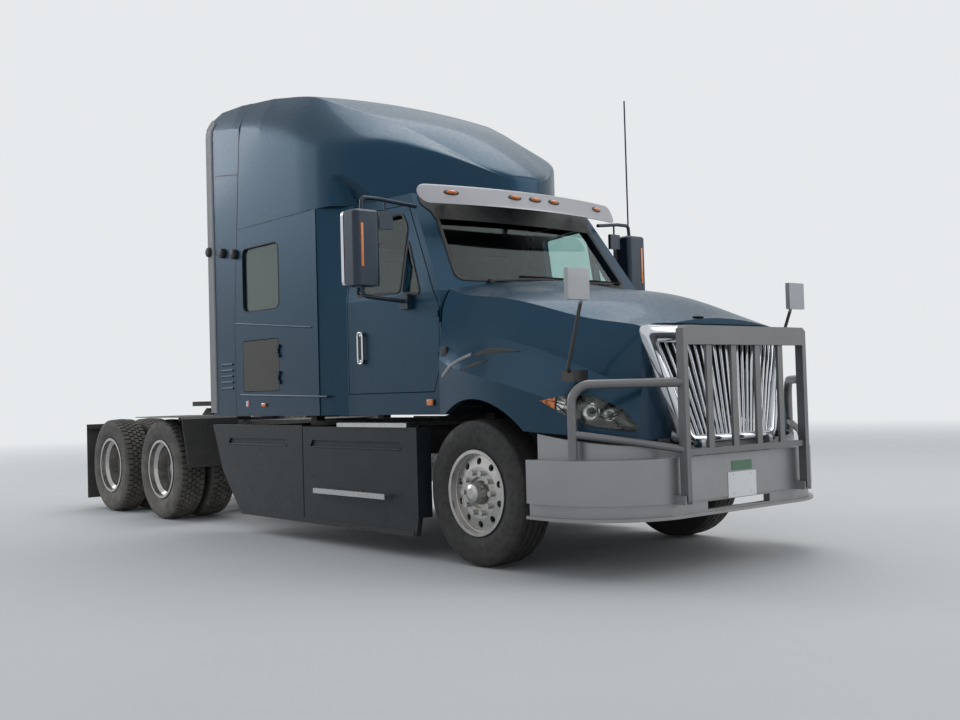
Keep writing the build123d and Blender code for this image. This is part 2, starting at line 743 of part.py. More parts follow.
def hood(outer, inner):
    flare = (hood_body(-flare_height) - inner) & across_rod(arch_x, (-1300, -700), arch_z, arch_radius + flare_width)
    shell = outer - inner - block((hood_nose_x, brow_x + 1), (-900, 900), (800, brow_bottom)) + both_sides(flare)
    arch = across_rod(arch_x, (-1300, -arch_inner_y), arch_z, arch_radius)
    shell = shell - both_sides(arch)
    shell = shell - front_prism(grille_outline(60, 85, 80), (900, brow_x))
    shell = shell - cab_body(-hood_gap, cab_bottom - 100, cab_top)
    shell = shell - both_sides(lamp_prism(seat_gap))
    y_range = (hood_arm_y, hood_arm_y + hood_arm_plate)
    arm = side_prism([(hood_nose_x - 28, 900), (hood_nose_x - 28, 845), (hood_pivot_x, 822), (hood_pivot_x, 858),
                      (hood_nose_x - 2, 866), (hood_nose_x - 2, 900)], y_range)
    arm = arm + across_rod(hood_pivot_x, y_range, hood_pivot_z, 28)
    arm = arm - across_rod(hood_pivot_x, (y_range[0] - 5, y_range[1] + 5), hood_pivot_z, hood_pin_radius + running_gap)
    return shell + both_sides(arm)


def headlamps(outer):
    inner = hood_body(hood_wall)
    lens = (outer - inner) & lamp_prism(0)
    return both_sides(lens)


# A curved plate seen from above: bowed forward in the middle
def bowed_plate(front_x, half, bow, thickness, z_range):
    rear_x = front_x - thickness
    front = ThreePointArc((front_x, -half), (front_x + bow, 0), (front_x, half))
    back = ThreePointArc((rear_x, half), (rear_x + bow, 0), (rear_x, -half))
    ends = [Line((front_x, half), (rear_x, half)), Line((rear_x, -half), (front_x, -half))]
    face = make_face([front, back] + ends)
    return extrude(Pos(0, 0, z_range[0]) * face, amount=z_range[1] - z_range[0], dir=(0, 0, 1))


# Grille: a chrome surround narrowing downward and slats that fan out from its foot
grille_bands = (110, 130, 50)


def grille():
    front_x = hood_nose_x + grille_plate
    half = grille_top_half + 1
    z_range = (grille_bottom - 20, grille_top + 20)
    plate = bowed_plate(front_x, half, grille_bow, 2 * grille_plate, z_range)
    plate = plate + block((hood_nose_x + seat_gap, front_x), (-half, half), z_range)
    plate = plate & block((hood_nose_x + seat_gap, front_x + 2 * grille_bow), (-half, half), z_range)
    ring = front_prism(grille_outline(0, 0, 0), (1000, 1500), 40)
    surround = plate & (ring - front_prism(grille_outline(*grille_bands), (900, 1600), 20))
    notch = block((hood_nose_x, front_x + 2 * grille_bow), (hood_arm_y - 3, hood_arm_y + hood_arm_plate + 3),
                  (grille_bottom - 1, grille_bottom + 32))
    surround = surround - both_sides(notch)
    slat_plate = bowed_plate(front_x - 12, half, grille_bow, grille_plate, z_range)
    (_, top_z), (top_half, _), (low_half, low_z), _ = grille_outline(*grille_bands)
    pitch_top = 2 * top_half / slat_count
    pitch_low = 2 * low_half / slat_count
    slats = []
    for i in range(slat_count):
        place = i - (slat_count - 1) / 2
        top_y, low_y = place * pitch_top, place * pitch_low
        outline = [(low_y - slat_width / 2, low_z - 4), (low_y + slat_width / 2, low_z - 4),
                   (top_y + slat_width / 2, top_z + 4), (top_y - slat_width / 2, top_z + 4)]
        slats.append(slat_plate & front_prism(outline, (1000, 1500)))
    return surround + slats


# Bumper: a bowed channel with a stepped lower lip, a panel up to the hood, and its brackets on the rails
def bumper_plan(inset):
    front = bumper_front_x - inset
    side = bumper_half_width - inset
    radius = bumper_corner - inset
    face = Polygon((bumper_end_x, -side), (front, -side), (front, side), (bumper_end_x, side), align=None)
    corners = [v for v in face.vertices() if v.X > bumper_end_x + 1]
    return fillet(corners, radius)


def bumper_layer(inset, thickness, z_range):
    ring = bumper_plan(inset) - Pos(-1, 0, 0) * bumper_plan(inset + thickness)
    return extrude(Pos(0, 0, z_range[0]) * ring, amount=z_range[1] - z_range[0], dir=(0, 0, 1))


def bumper():
    face = bumper_layer(0, bumper_plate, (bumper_bottom, bumper_top))
    shelf = bumper_layer(0, 170, (bumper_top - 14, bumper_top))
    step = bumper_layer(25, bumper_plate, (lip_bottom + 20, bumper_bottom))
    lip = bumper_layer(-8, 120, (lip_bottom, lip_bottom + 20))
    upper = bumper_layer(110, 30, (bumper_top, 1000)) - side_prism(
        [(500, 935), (1290, 828), (1290, 1100), (500, 1100)], (-1300, 1300))
    whole = face + shelf + step + lip + upper
    intake = block((1000, 1500), (-330, 330), (lip_bottom + 30, lip_bottom + 82))
    whole = whole - intake
    arms = block((rail_front_x + seat_gap, bumper_front_x - 20), (rail_outer_y - 90, rail_outer_y - 50), (560, 750))
    arms = arms + block((rail_front_x + seat_gap, rail_front_x + 20), (rail_outer_y - 90, rail_outer_y), (720, 880))
    arms = arms + block((rail_front_x + seat_gap, rail_front_x + 20), (rail_outer_y - 90, rail_outer_y - 50), (700, 880))
    arms = arms + block((hood_pivot_x - 28, hood_pivot_x + 28), (rail_outer_y - 90, rail_outer_y - 50), (740, hood_pivot_z))
    arms = arms + across_rod(hood_pivot_x, (rail_outer_y - 90, rail_outer_y - 50), hood_pivot_z, 28)
    arms = arms + across_rod(hood_pivot_x, (rail_outer_y - 60, hood_arm_y + hood_arm_plate + 12), hood_pivot_z, hood_pin_radius)
    lug_z = guard_pivot_z
    pivot_x = guard_front_x - guard_depth / 2
    half_post = guard_post_width / 2
    lugs = [
        block((bumper_front_x - 30, pivot_x + 22), (y, y + 14), (lug_z - 28, lug_z + 28))
        for y in (guard_post_y - half_post - 5 - 14, guard_post_y + half_post + 5)
    ]
    pin = across_rod(pivot_x, (guard_post_y - half_post - 19, guard_post_y + half_post + 19), lug_z, pivot_pin_radius)
    side = [arms, pin] + lugs
    whole = whole + side + [other_side(piece) for piece in side]
    holes = [across_x(y, z, 3.5) for y in (-89, 89) for z in plate_hole_z]
    return whole - holes


def across_x(y, z, radius):
    return Pos(bumper_front_x, y, z) * Rot(0, 90, 0) * Cylinder(radius, 400)


# Guard: two posts, a deep top bar, four flat bars, and a tube hoop over each headlamp
def guard():
    back_x = guard_front_x - guard_depth
    pivot_x = guard_front_x - guard_depth / 2
    half = guard_post_width / 2
    post = block((back_x, guard_front_x), (guard_post_y - half, guard_post_y + half), (guard_pivot_z, guard_top - 20))
    post = post + across_rod(pivot_x, (guard_post_y - half, guard_post_y + half), guard_pivot_z, guard_depth / 2)
    post = post - across_rod(pivot_x, (guard_post_y - 60, guard_post_y + 60), guard_pivot_z, pivot_pin_radius + running_gap)
    top_half = guard_post_y + half
    bar = front_prism([(-top_half, guard_top - guard_bar_height), (top_half, guard_top - guard_bar_height),
                       (top_half, guard_top - 30), (top_half - 30, guard_top), (-top_half + 30, guard_top),
                       (-top_half, guard_top - 30)], (back_x, guard_front_x))
    foot_z = bumper_top + 12
    rail = block((back_x + 5, back_x + 45), (-guard_post_y, guard_post_y), (foot_z, foot_z + 40))
    pitch = 2 * guard_post_y / 5
    bars = [
        block((back_x + 20, back_x + 40), (y - 27, y + 27), (foot_z + 20, guard_top - guard_bar_height + 10))
        for y in [(-1.5 + i) * pitch for i in range(4)]
    ]
    hoop = tube([(hoop_x, hoop_y, bumper_top + 6), (hoop_x, hoop_y, 1232), (pivot_x - 8, -guard_post_y, 1232)],
                guard_tube_radius, 120)
    brace = tube([(hoop_x, hoop_y, 925), (1240, -880, 868), (pivot_x - 5, -guard_post_y, 812)], guard_tube_radius - 6, 300)
    side = [post, other_side(hoop), other_side(brace)]
    return bar + rail + bars + side + [other_side(piece) for piece in side]


# Skirts: two panels a side under the cab and sleeper, with a long groove, a crease and a slanted tail
def skirt_side():
    outer = -sleeper_half_width
    inner = outer + skirt_plate
    half_gap = 6
    front = [(skirt_front_x, skirt_top - 10), (skirt_split_x + half_gap, skirt_top - 10), (skirt_split_x + half_gap, skirt_bottom),
             (skirt_front_x - 30, skirt_bottom), (skirt_front_x, skirt_bottom + 120)]
    rear = [(skirt_split_x - half_gap, skirt_top), (skirt_rear_top_x, skirt_top), (skirt_knee_x, skirt_knee_z),
            (skirt_rear_bottom_x, skirt_bottom), (skirt_split_x - half_gap, skirt_bottom)]
    panels = side_prism(front, (outer, inner)) + side_prism(rear, (outer, inner))
    flange = block((skirt_front_x - 20, skirt_front_x), (outer, outer + 130), (skirt_bottom + 130, skirt_top - 10))
    panels = panels + flange
    grooves = [
        side_prism([(x0, 800), (x1, 800), (x1 - 30, 850), (x0 + 30, 850)], (outer - 1, outer + 16))
        for x0, x1 in ((-3500, -2420), (-2060, -760))
    ]
    return panels - grooves


def step_treads():
    outer = -sleeper_half_width
    upper = block((-1630, -690), (outer - 12, outer + 120), (skirt_top - 10 + seat_gap, skirt_top + 22))
    lower = block((-1920, -910), (outer - 70, outer - seat_gap), (425, 465))
    return both_sides(upper) + both_sides(lower)


def tanks():
    top_z = skirt_top - 50 - seat_gap
    fuel = Pos(-2500, tank_y, top_z - tank_radius) * Rot(0, 90, 0) * Cylinder(tank_radius, 1500)
    air = across_rod(air_tank_x, (-320, 320), rail_top - rail_height + 40 - seat_gap - 100, 100)
    return both_sides(fuel) + [air]


def visor():
    low = visor_section(visor_low_z, visor_low_x, visor_half, visor_low_bow)
    high = visor_section(visor_high_z, visor_high_x, visor_half - visor_taper, visor_high_bow)
    shade = loft([low, high], ruled=True)
    brackets = [block((-900, x), (y - 20, y + 20), (2700, 2730)) for x, y in ((-618, -700), (-548, 0), (-618, 700))]
    body = cab_body(0, cab_bottom, cab_top)
    return shade + [piece - body for piece in brackets]


def visor_section(z, front_x, half, bow):
    back_x = front_x - 22
    front = ThreePointArc((front_x, -half, z), (front_x + bow, 0, z), (front_x, half, z))
    back = ThreePointArc((back_x, half, z), (back_x + bow, 0, z), (back_x, -half, z))
    ends = [Line((front_x, half, z), (back_x, half, z)), Line((back_x, -half, z), (front_x, -half, z))]
    return make_face([front, back] + ends)


# Door mirror: a tall head on a tube arm from the door's top and a lower arm, with a look-down glass
def door_mirror(antenna):
    head = block((-945, -770), (-1565, -1340), (2008, 2563))
    head = fillet(head.edges().filter_by(Axis.Z), 40)
    head = chamfer(head.faces().sort_by(Axis.Z)[-1].edges(), 15)
    upper = tube([(-800, -985, 2625), (-860, -1300, 2665), (-860, -1440, 2665), (-860, -1450, 2540)], 15, 35)
    lower = tube([(-860, -1450, 2040), (-860, -1450, 1935), (-800, -1075, 1895)], 15, 40)
    pad = block((-850, -740), (-1135, -1075), (1840, 1950))
    glass_arm = upright_rod(-850, -1240, (2560, 2660), 8)
    small = block((-865, -835), (-1300, -1180), (2440, 2570))
    body = cab_body(0, cab_bottom, cab_top)
    whole = head + upper + lower + pad + glass_arm + small
    whole = whole - body
    if antenna:
        whole = whole + upright_rod(-860, -1440, (2650, 3800), 7)
    return whole


def hood_mirror(outer):
    stalk = tube([(870, -1020, 1290), (890, -1090, 1330), (1060, -1110, 1800)], 12, 30)
    foot = Pos(870, -1010, 1290) * Box(110, 130, 70)
    head = block((1040, 1075), (-1245, -1060), (1760, 1955))
    return (foot + stalk + head) - outer


def lamps():
    front_x = (visor_low_x + visor_high_x) / 2
    bow = (visor_low_bow + visor_high_bow) / 2
    half = visor_half - visor_taper / 2
    radius = (half ** 2 + bow ** 2) / (2 * bow)
    lean = degrees(atan2(visor_low_x - visor_high_x, visor_high_z - visor_low_z))
    roof_lamps = []
    for y in (0, 211, -211, 784, -784):
        x = front_x + bow - radius + sqrt(radius ** 2 - y ** 2)
        lamp = Pos(x, y, (visor_low_z + visor_high_z) / 2) * Rot(0, 0, degrees(asin(y / radius))) * Rot(0, -lean, 0)
        roof_lamps.append(lamp * Pos(lamp_depth / 2 + lamp_gap, 0, 0) * Box(lamp_depth, 90, 26))
    outer = sleeper_half_width
    markers = [block((-2840, -2770), (-outer - 22, -outer), (1130, 1165)),
               block((-570, -500), (-cab_half_width - 22, -cab_half_width), (1115, 1165))]
    body = cab_body(0, cab_bottom, cab_top)
    markers = [marker - body for marker in markers]
    return roof_lamps + markers + [other_side(marker) for marker in markers]


# Half fenders over the first drive wheels, and the mud flaps behind the last
def rear_fenders():
    top, under = fender_top, fender_top - fender_plate
    outline = [(-5580, top), (-4490, top), (-4440, top - 25), (-4315, 545), (-4323, 543), (-4448, top - 33),
               (-4493, under), (-5580, under)]
    fender = side_prism(outline, (-1220, -615))
    flap = block((flap_x, flap_x + flap_plate), (-1220, -620), (110, 960))
    return both_sides(fender) + both_sides(flap)


def coupler_base():
    inner = rail_outer_y - rail_flange
    pin = across_rod(coupler_x, (coupler_lug_y - 55, inner + 40), coupler_pivot_z, coupler_pin_radius)
    outline = [(coupler_x - 220, rail_top + seat_gap), (coupler_x + 220, rail_top + seat_gap), (coupler_x + 60, coupler_pivot_z + 20),
               (coupler_x + 20, coupler_pivot_z + 45), (coupler_x - 20, coupler_pivot_z + 45), (coupler_x - 60, coupler_pivot_z + 20)]
    stand = side_prism(outline, (inner, rail_outer_y))
    tie = block((coupler_x - 150, coupler_x + 150), (-inner, inner), (rail_top + seat_gap, rail_top + 15))
    return tie + both_sides(stand) + both_sides(pin)


def coupler():
    low = coupler_top - coupler_plate
    half = coupler_half_width
    length = coupler_half_length
    outline = [(coupler_x + length, -half + 140), (coupler_x + length, half - 140), (coupler_x + length - 140, half),
               (coupler_x - 250, half), (coupler_x - length, half - 120), (coupler_x - length, -half + 120),
               (coupler_x - 250, -half), (coupler_x + length - 140, -half)]
    plate = plan_prism(outline, (low, coupler_top))
    throat = plan_prism([(coupler_x, -kingpin_seat_radius), (coupler_x - 170, -kingpin_seat_radius - 12),
                         (coupler_x - length - 10, -230), (coupler_x - length - 10, 230),
                         (coupler_x - 170, kingpin_seat_radius + 12), (coupler_x, kingpin_seat_radius)], (low - 10, coupler_top + 10))
    seat = upright_rod(coupler_x, 0, (low - 10, coupler_top + 10), kingpin_seat_radius)
    plate = plate - throat - seat
    lug = side_prism([(coupler_x - 70, low + 5), (coupler_x + 70, low + 5), (coupler_x + 40, coupler_pivot_z - 40),
                      (coupler_x - 40, coupler_pivot_z - 40)], (coupler_lug_y - 60, coupler_lug_y))
    bore = across_rod(coupler_x, (coupler_lug_y - 80, coupler_lug_y + 10), coupler_pivot_z,
                      coupler_pin_radius + running_gap)
    return plate + both_sides(lug) - both_sides(bore)


def cab_interior():
    dash = side_prism([(-480, 1700), (-700, 1620), (-880, 1700), (-900, 1860), (-780, 1960), (-500, 1960)], (-1000, 1000))
    tunnel = side_prism([(-470, floor_top + seat_gap), (-800, floor_top + seat_gap), (-760, 1640), (-480, 1701)], (-260, 260))
    column = tube([(-760, 500, 1800), (-900, 500, 1900), (-985, 500, 1962)], 28, 60)
    wheel_ring = Pos(-985, 500, 1962) * Rot(0, -52, 0) * Torus(220, 16)
    spokes = Pos(-985, 500, 1962) * Rot(0, -52, 0) * Box(40, 440, 14)
    bunk_x = (sleeper_rear_x + sleeper_wall + seat_gap, -2450)
    bunk_y = (-sleeper_half_width + sleeper_wall + seat_gap, sleeper_half_width - sleeper_wall - seat_gap)
    bunk = block(bunk_x, bunk_y, (1735, 1860)) + block((-2480, -2450), bunk_y, (floor_top + seat_gap, 1735))
    return [dash + tunnel + column + wheel_ring + spokes, bunk]


def seat(y):
    base = block((-1640, -1240), (y - 180, y + 180), (floor_top + seat_gap, 1620))
    cushion = block((-1700, -1180), (y - 265, y + 265), (1600, 1760))
    cushion = fillet(cushion.edges(), 40)
    back = side_prism([(-1640, 1700), (-1530, 1700), (-1660, 2440), (-1770, 2440)], (y - 255, y + 255))
    back = fillet(back.edges().filter_by(Axis.Y), 40)
    return base + cushion + back


def cab_glazing():
    skin = cab_skin(cab_wall / 2, glass)
    windshield = skin & front_prism(windshield_outline, (header_x - 20, 0), 60)
    pane = side_prism(sleeper_window, (-sleeper_half_width + 20, -sleeper_half_width + 20 + glass), 70)
    return [windshield] + both_sides(pane)


def save(name, shape):
    pieces = shape if isinstance(shape, (list, tuple)) else [shape]
    solids = [solid for piece in pieces for solid in piece.solids()]
    placed = [Pos(-middle_x, 0, 0) * solid for solid in solids]
    export_step(Compound(children=placed, label=name), f"parts/{name}.step")


def main():
    os.makedirs("parts", exist_ok=True)
    save("chassis_frame", chassis_frame())
    save("engine_block", engine_block())
    save("radiator", radiator())
    save("front_axle", front_axle())
    save("drive_axles", [drive_axle(x) for x in drive_axles_x])
    save("cab_shell", cab_shell())
    save("sleeper_shell", sleeper_shell())
    save("cab_glazing", cab_glazing())
    save("cab_interior", cab_interior())
    save("seats", [seat(500), seat(-500)])
    roof_outer = roof_body(0)
    save("roof_fairing", roof_fairing(roof_outer, roof_body(45)))
    save("side_extenders", side_extenders(roof_outer))
    save("side_skirts", both_sides(skirt_side()))
    save("step_treads", step_treads())
    save("tanks", tanks())
    save("sun_visor", visor())
    save("lamps", lamps())
    save("rear_fenders", rear_fenders())
    save("bumper", bumper())
    save("fifth_wheel_base", coupler_base())
    save("fifth_wheel", coupler())
    save("guard", guard())
    hood_outer = hood_body(0)
    save("hood", hood(hood_outer, hood_body(hood_wall)))
    save("headlamps", headlamps(hood_outer))
    save("grille", grille())
    save("hood_mirrors", both_sides(hood_mirror(hood_outer)))
    right_side = {"door": door(), "luggage_door": luggage_door(), "knuckle": other_side(knuckle())}
    glass_right = door_glass()
    for side, sign in (("right", -1), ("left", 1)):
        for name, shape in right_side.items():
            save(f"{name}_{side}", to_side(shape, sign))
        save(f"door_glass_{side}", [to_side(pane, sign) for pane in glass_right])
        save(f"door_mirror_{side}", to_side(door_mirror(antenna=sign > 0), sign))
        save(f"tyre_front_{side}", place_wheel(tyre(front_wheel_y), 0, sign))
        save(f"wheel_front_{side}", place_wheel(front_wheel(), 0, sign))
        for row, x in zip(("first", "second"), drive_axles_x):
            pair = [tyre(dual_outer_y), tyre(dual_outer_y - dual_spacing)]
            save(f"tyres_{row}_drive_{side}", [place_wheel(ring, x, sign) for ring in pair])
            save(f"wheels_{row}_drive_{side}", place_wheel(drive_wheel(), x, sign))


main()
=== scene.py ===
import math

import bmesh
import bpy
import numpy as np
from mathutils import Matrix, Vector
from mathutils.bvhtree import BVHTree


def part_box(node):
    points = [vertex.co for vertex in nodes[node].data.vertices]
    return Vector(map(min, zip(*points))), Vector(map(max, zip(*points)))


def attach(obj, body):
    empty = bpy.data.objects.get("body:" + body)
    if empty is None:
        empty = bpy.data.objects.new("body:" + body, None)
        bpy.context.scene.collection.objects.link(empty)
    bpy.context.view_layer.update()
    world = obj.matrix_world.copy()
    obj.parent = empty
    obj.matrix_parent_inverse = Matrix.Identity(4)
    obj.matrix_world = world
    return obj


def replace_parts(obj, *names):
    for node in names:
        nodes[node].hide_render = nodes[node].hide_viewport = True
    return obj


# A highway tractor, dressed on its solids. Metres, +X forward, +Y to the driver's side, +Z up.
# Heights are from the ground; frontAxle is the front axle's place along X.
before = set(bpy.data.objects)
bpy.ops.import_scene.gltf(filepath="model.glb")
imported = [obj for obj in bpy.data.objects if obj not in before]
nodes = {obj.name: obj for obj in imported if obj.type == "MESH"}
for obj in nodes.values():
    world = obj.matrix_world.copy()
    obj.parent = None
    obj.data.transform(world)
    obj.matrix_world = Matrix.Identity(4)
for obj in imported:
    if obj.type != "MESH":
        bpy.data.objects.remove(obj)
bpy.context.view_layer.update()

tyreLow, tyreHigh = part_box("tyre_front_right")
frontAxle = (tyreLow.x + tyreHigh.x) / 2
driveAxles = {}
for row in ("first", "second"):
    low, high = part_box(f"tyres_{row}_drive_right")
    driveAxles[row] = (low.x + high.x) / 2
tyreRadius = (tyreHigh.z - tyreLow.z) / 2
sides = {"right": -1, "left": 1}
print("frame loaded", len(nodes), "nodes")


# Faces of a grid of points, row by row; a closed way wraps round to its first line of points
def gridFaces(rows, columns, wrapRows=False, wrapColumns=False):
    i = np.arange(rows if wrapRows else rows - 1)
    j = np.arange(columns if wrapColumns else columns - 1)
    i, j = np.meshgrid(i, j, indexing="ij")
    nextI, nextJ = (i + 1) % rows, (j + 1) % columns
    quads = np.stack([i * columns + j, nextI * columns + j, nextI * columns + nextJ, i * columns + nextJ], -1)
    return quads.reshape(-1, 4)


# One mesh object from one or more (points, faces) shells, welded and with every face turned outwards. Its finish
# brings the material
def makePiece(name, shells, finish, body="tractor", sharpAngle=40):
    points, faces, start = [], [], 0
    for shellPoints, shellFaces in shells:
        shellPoints = np.asarray(shellPoints, float).reshape(-1, 3)
        points.append(shellPoints)
        faces.extend([[corner + start for corner in face] for face in np.asarray(shellFaces, object).tolist()])
        start += len(shellPoints)
    mesh = bpy.data.meshes.new(name)
    mesh.from_pydata(np.concatenate(points).tolist(), [], faces)
    welded = bmesh.new()
    welded.from_mesh(mesh)
    bmesh.ops.remove_doubles(welded, verts=welded.verts, dist=1e-5)
    bmesh.ops.recalc_face_normals(welded, faces=welded.faces)
    welded.to_mesh(mesh)
    welded.free()
    mesh.polygons.foreach_set("use_smooth", [True] * len(mesh.polygons))
    mesh.set_sharp_from_angle(angle=math.radians(sharpAngle))
    mesh.materials.append(made[finish])
    piece = bpy.data.objects.new(name, mesh)
    bpy.context.scene.collection.objects.link(piece)
    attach(piece, body)
    return piece


# A node with its settings; each input, by name or number, gets a value or a link from another node's output
def addNode(tree, kind, inputs=(), **settings):
    node = tree.nodes.new(kind)
    for key, value in settings.items():
        setattr(node, key, value)
    for key, value in dict(inputs).items():
        if isinstance(value, bpy.types.NodeSocket):
            tree.links.new(value, node.inputs[key])
        else:
            node.inputs[key].default_value = value
    return node


# Material helpers: every finish reads Object coordinates and has its own noise, roughness and relief
class Finish:
    def __init__(self, name):
        self.material = bpy.data.materials.new(name)
        self.material.use_nodes = True
        self.tree = self.material.node_tree
        self.shader = self.tree.nodes["Principled BSDF"]
        self.place = addNode(self.tree, "ShaderNodeTexCoord").outputs["Object"]

    def noise(self, scale, detail, stretch=(1, 1, 1)):
        mapping = addNode(self.tree, "ShaderNodeMapping", {"Vector": self.place, "Scale": stretch})
        inputs = {"Vector": mapping.outputs["Vector"], "Scale": scale, "Detail": detail}
        return addNode(self.tree, "ShaderNodeTexNoise", inputs).outputs["Fac"]

    def ranged(self, source, fromRange, toRange):
        inputs = {"Value": source, "From Min": fromRange[0], "From Max": fromRange[1], "To Min": toRange[0],
                  "To Max": toRange[1]}
        return addNode(self.tree, "ShaderNodeMapRange", inputs).outputs["Result"]

    # Inputs 6 and 7 and output 2 are the mix node's colours
    def mixed(self, factor, first, second):
        first, second = [(*value, 1) if isinstance(value, tuple) else value for value in (first, second)]
        inputs = {"Factor": factor, 6: first, 7: second}
        return addNode(self.tree, "ShaderNodeMix", inputs, data_type="RGBA").outputs[2]

    def times(self, first, second):
        return addNode(self.tree, "ShaderNodeMath", {0: first, 1: second}, operation="MULTIPLY").outputs[0]

    def height(self):
        return addNode(self.tree, "ShaderNodeSeparateXYZ", {"Vector": self.place}).outputs["Z"]

    def bump(self, source, strength, distance):
        inputs = {"Height": source, "Strength": strength, "Distance": distance}
        self.shade("Normal", addNode(self.tree, "ShaderNodeBump", inputs).outputs["Normal"])

    def shade(self, key, source):
        self.tree.links.new(source, self.shader.inputs[key])


# A finish: two colours mixed by noise, road dust that fades out upwards, a range of roughness and a fine relief
def makeFinish(name, colour, shade, patch, roughness, relief, special=()):
    special = dict(special)
    finish = Finish(name)
    colour = finish.mixed(finish.noise(patch, 5), colour, shade)
    if "lower" in special:
        lower, heights = special["lower"]
        colour = finish.mixed(finish.ranged(finish.height(), heights, (0, 1)), lower, colour)
    if "dust" in special:
        dust, heights, amount, dustPatch = special["dust"]
        climb = finish.ranged(finish.height(), heights, (amount, 0))
        cloud = finish.ranged(finish.noise(dustPatch, 6), (0.3, 0.7), (0.35, 1))
        colour = finish.mixed(finish.times(climb, cloud), colour, dust)
    finish.shade("Base Color", colour)
    finish.shade("Roughness", finish.ranged(finish.noise(30, 4), (0.3, 0.7), roughness))
    scale, strength, distance = relief
    finish.bump(finish.noise(scale, 3, special.get("grain", (1, 1, 1))), strength, distance)
    for key in set(special) & set(finish.shader.inputs.keys()):
        finish.shader.inputs[key].default_value = special[key]
    return finish.material


roadDust, rubberDust = (0.16, 0.14, 0.12), (0.24, 0.215, 0.185)
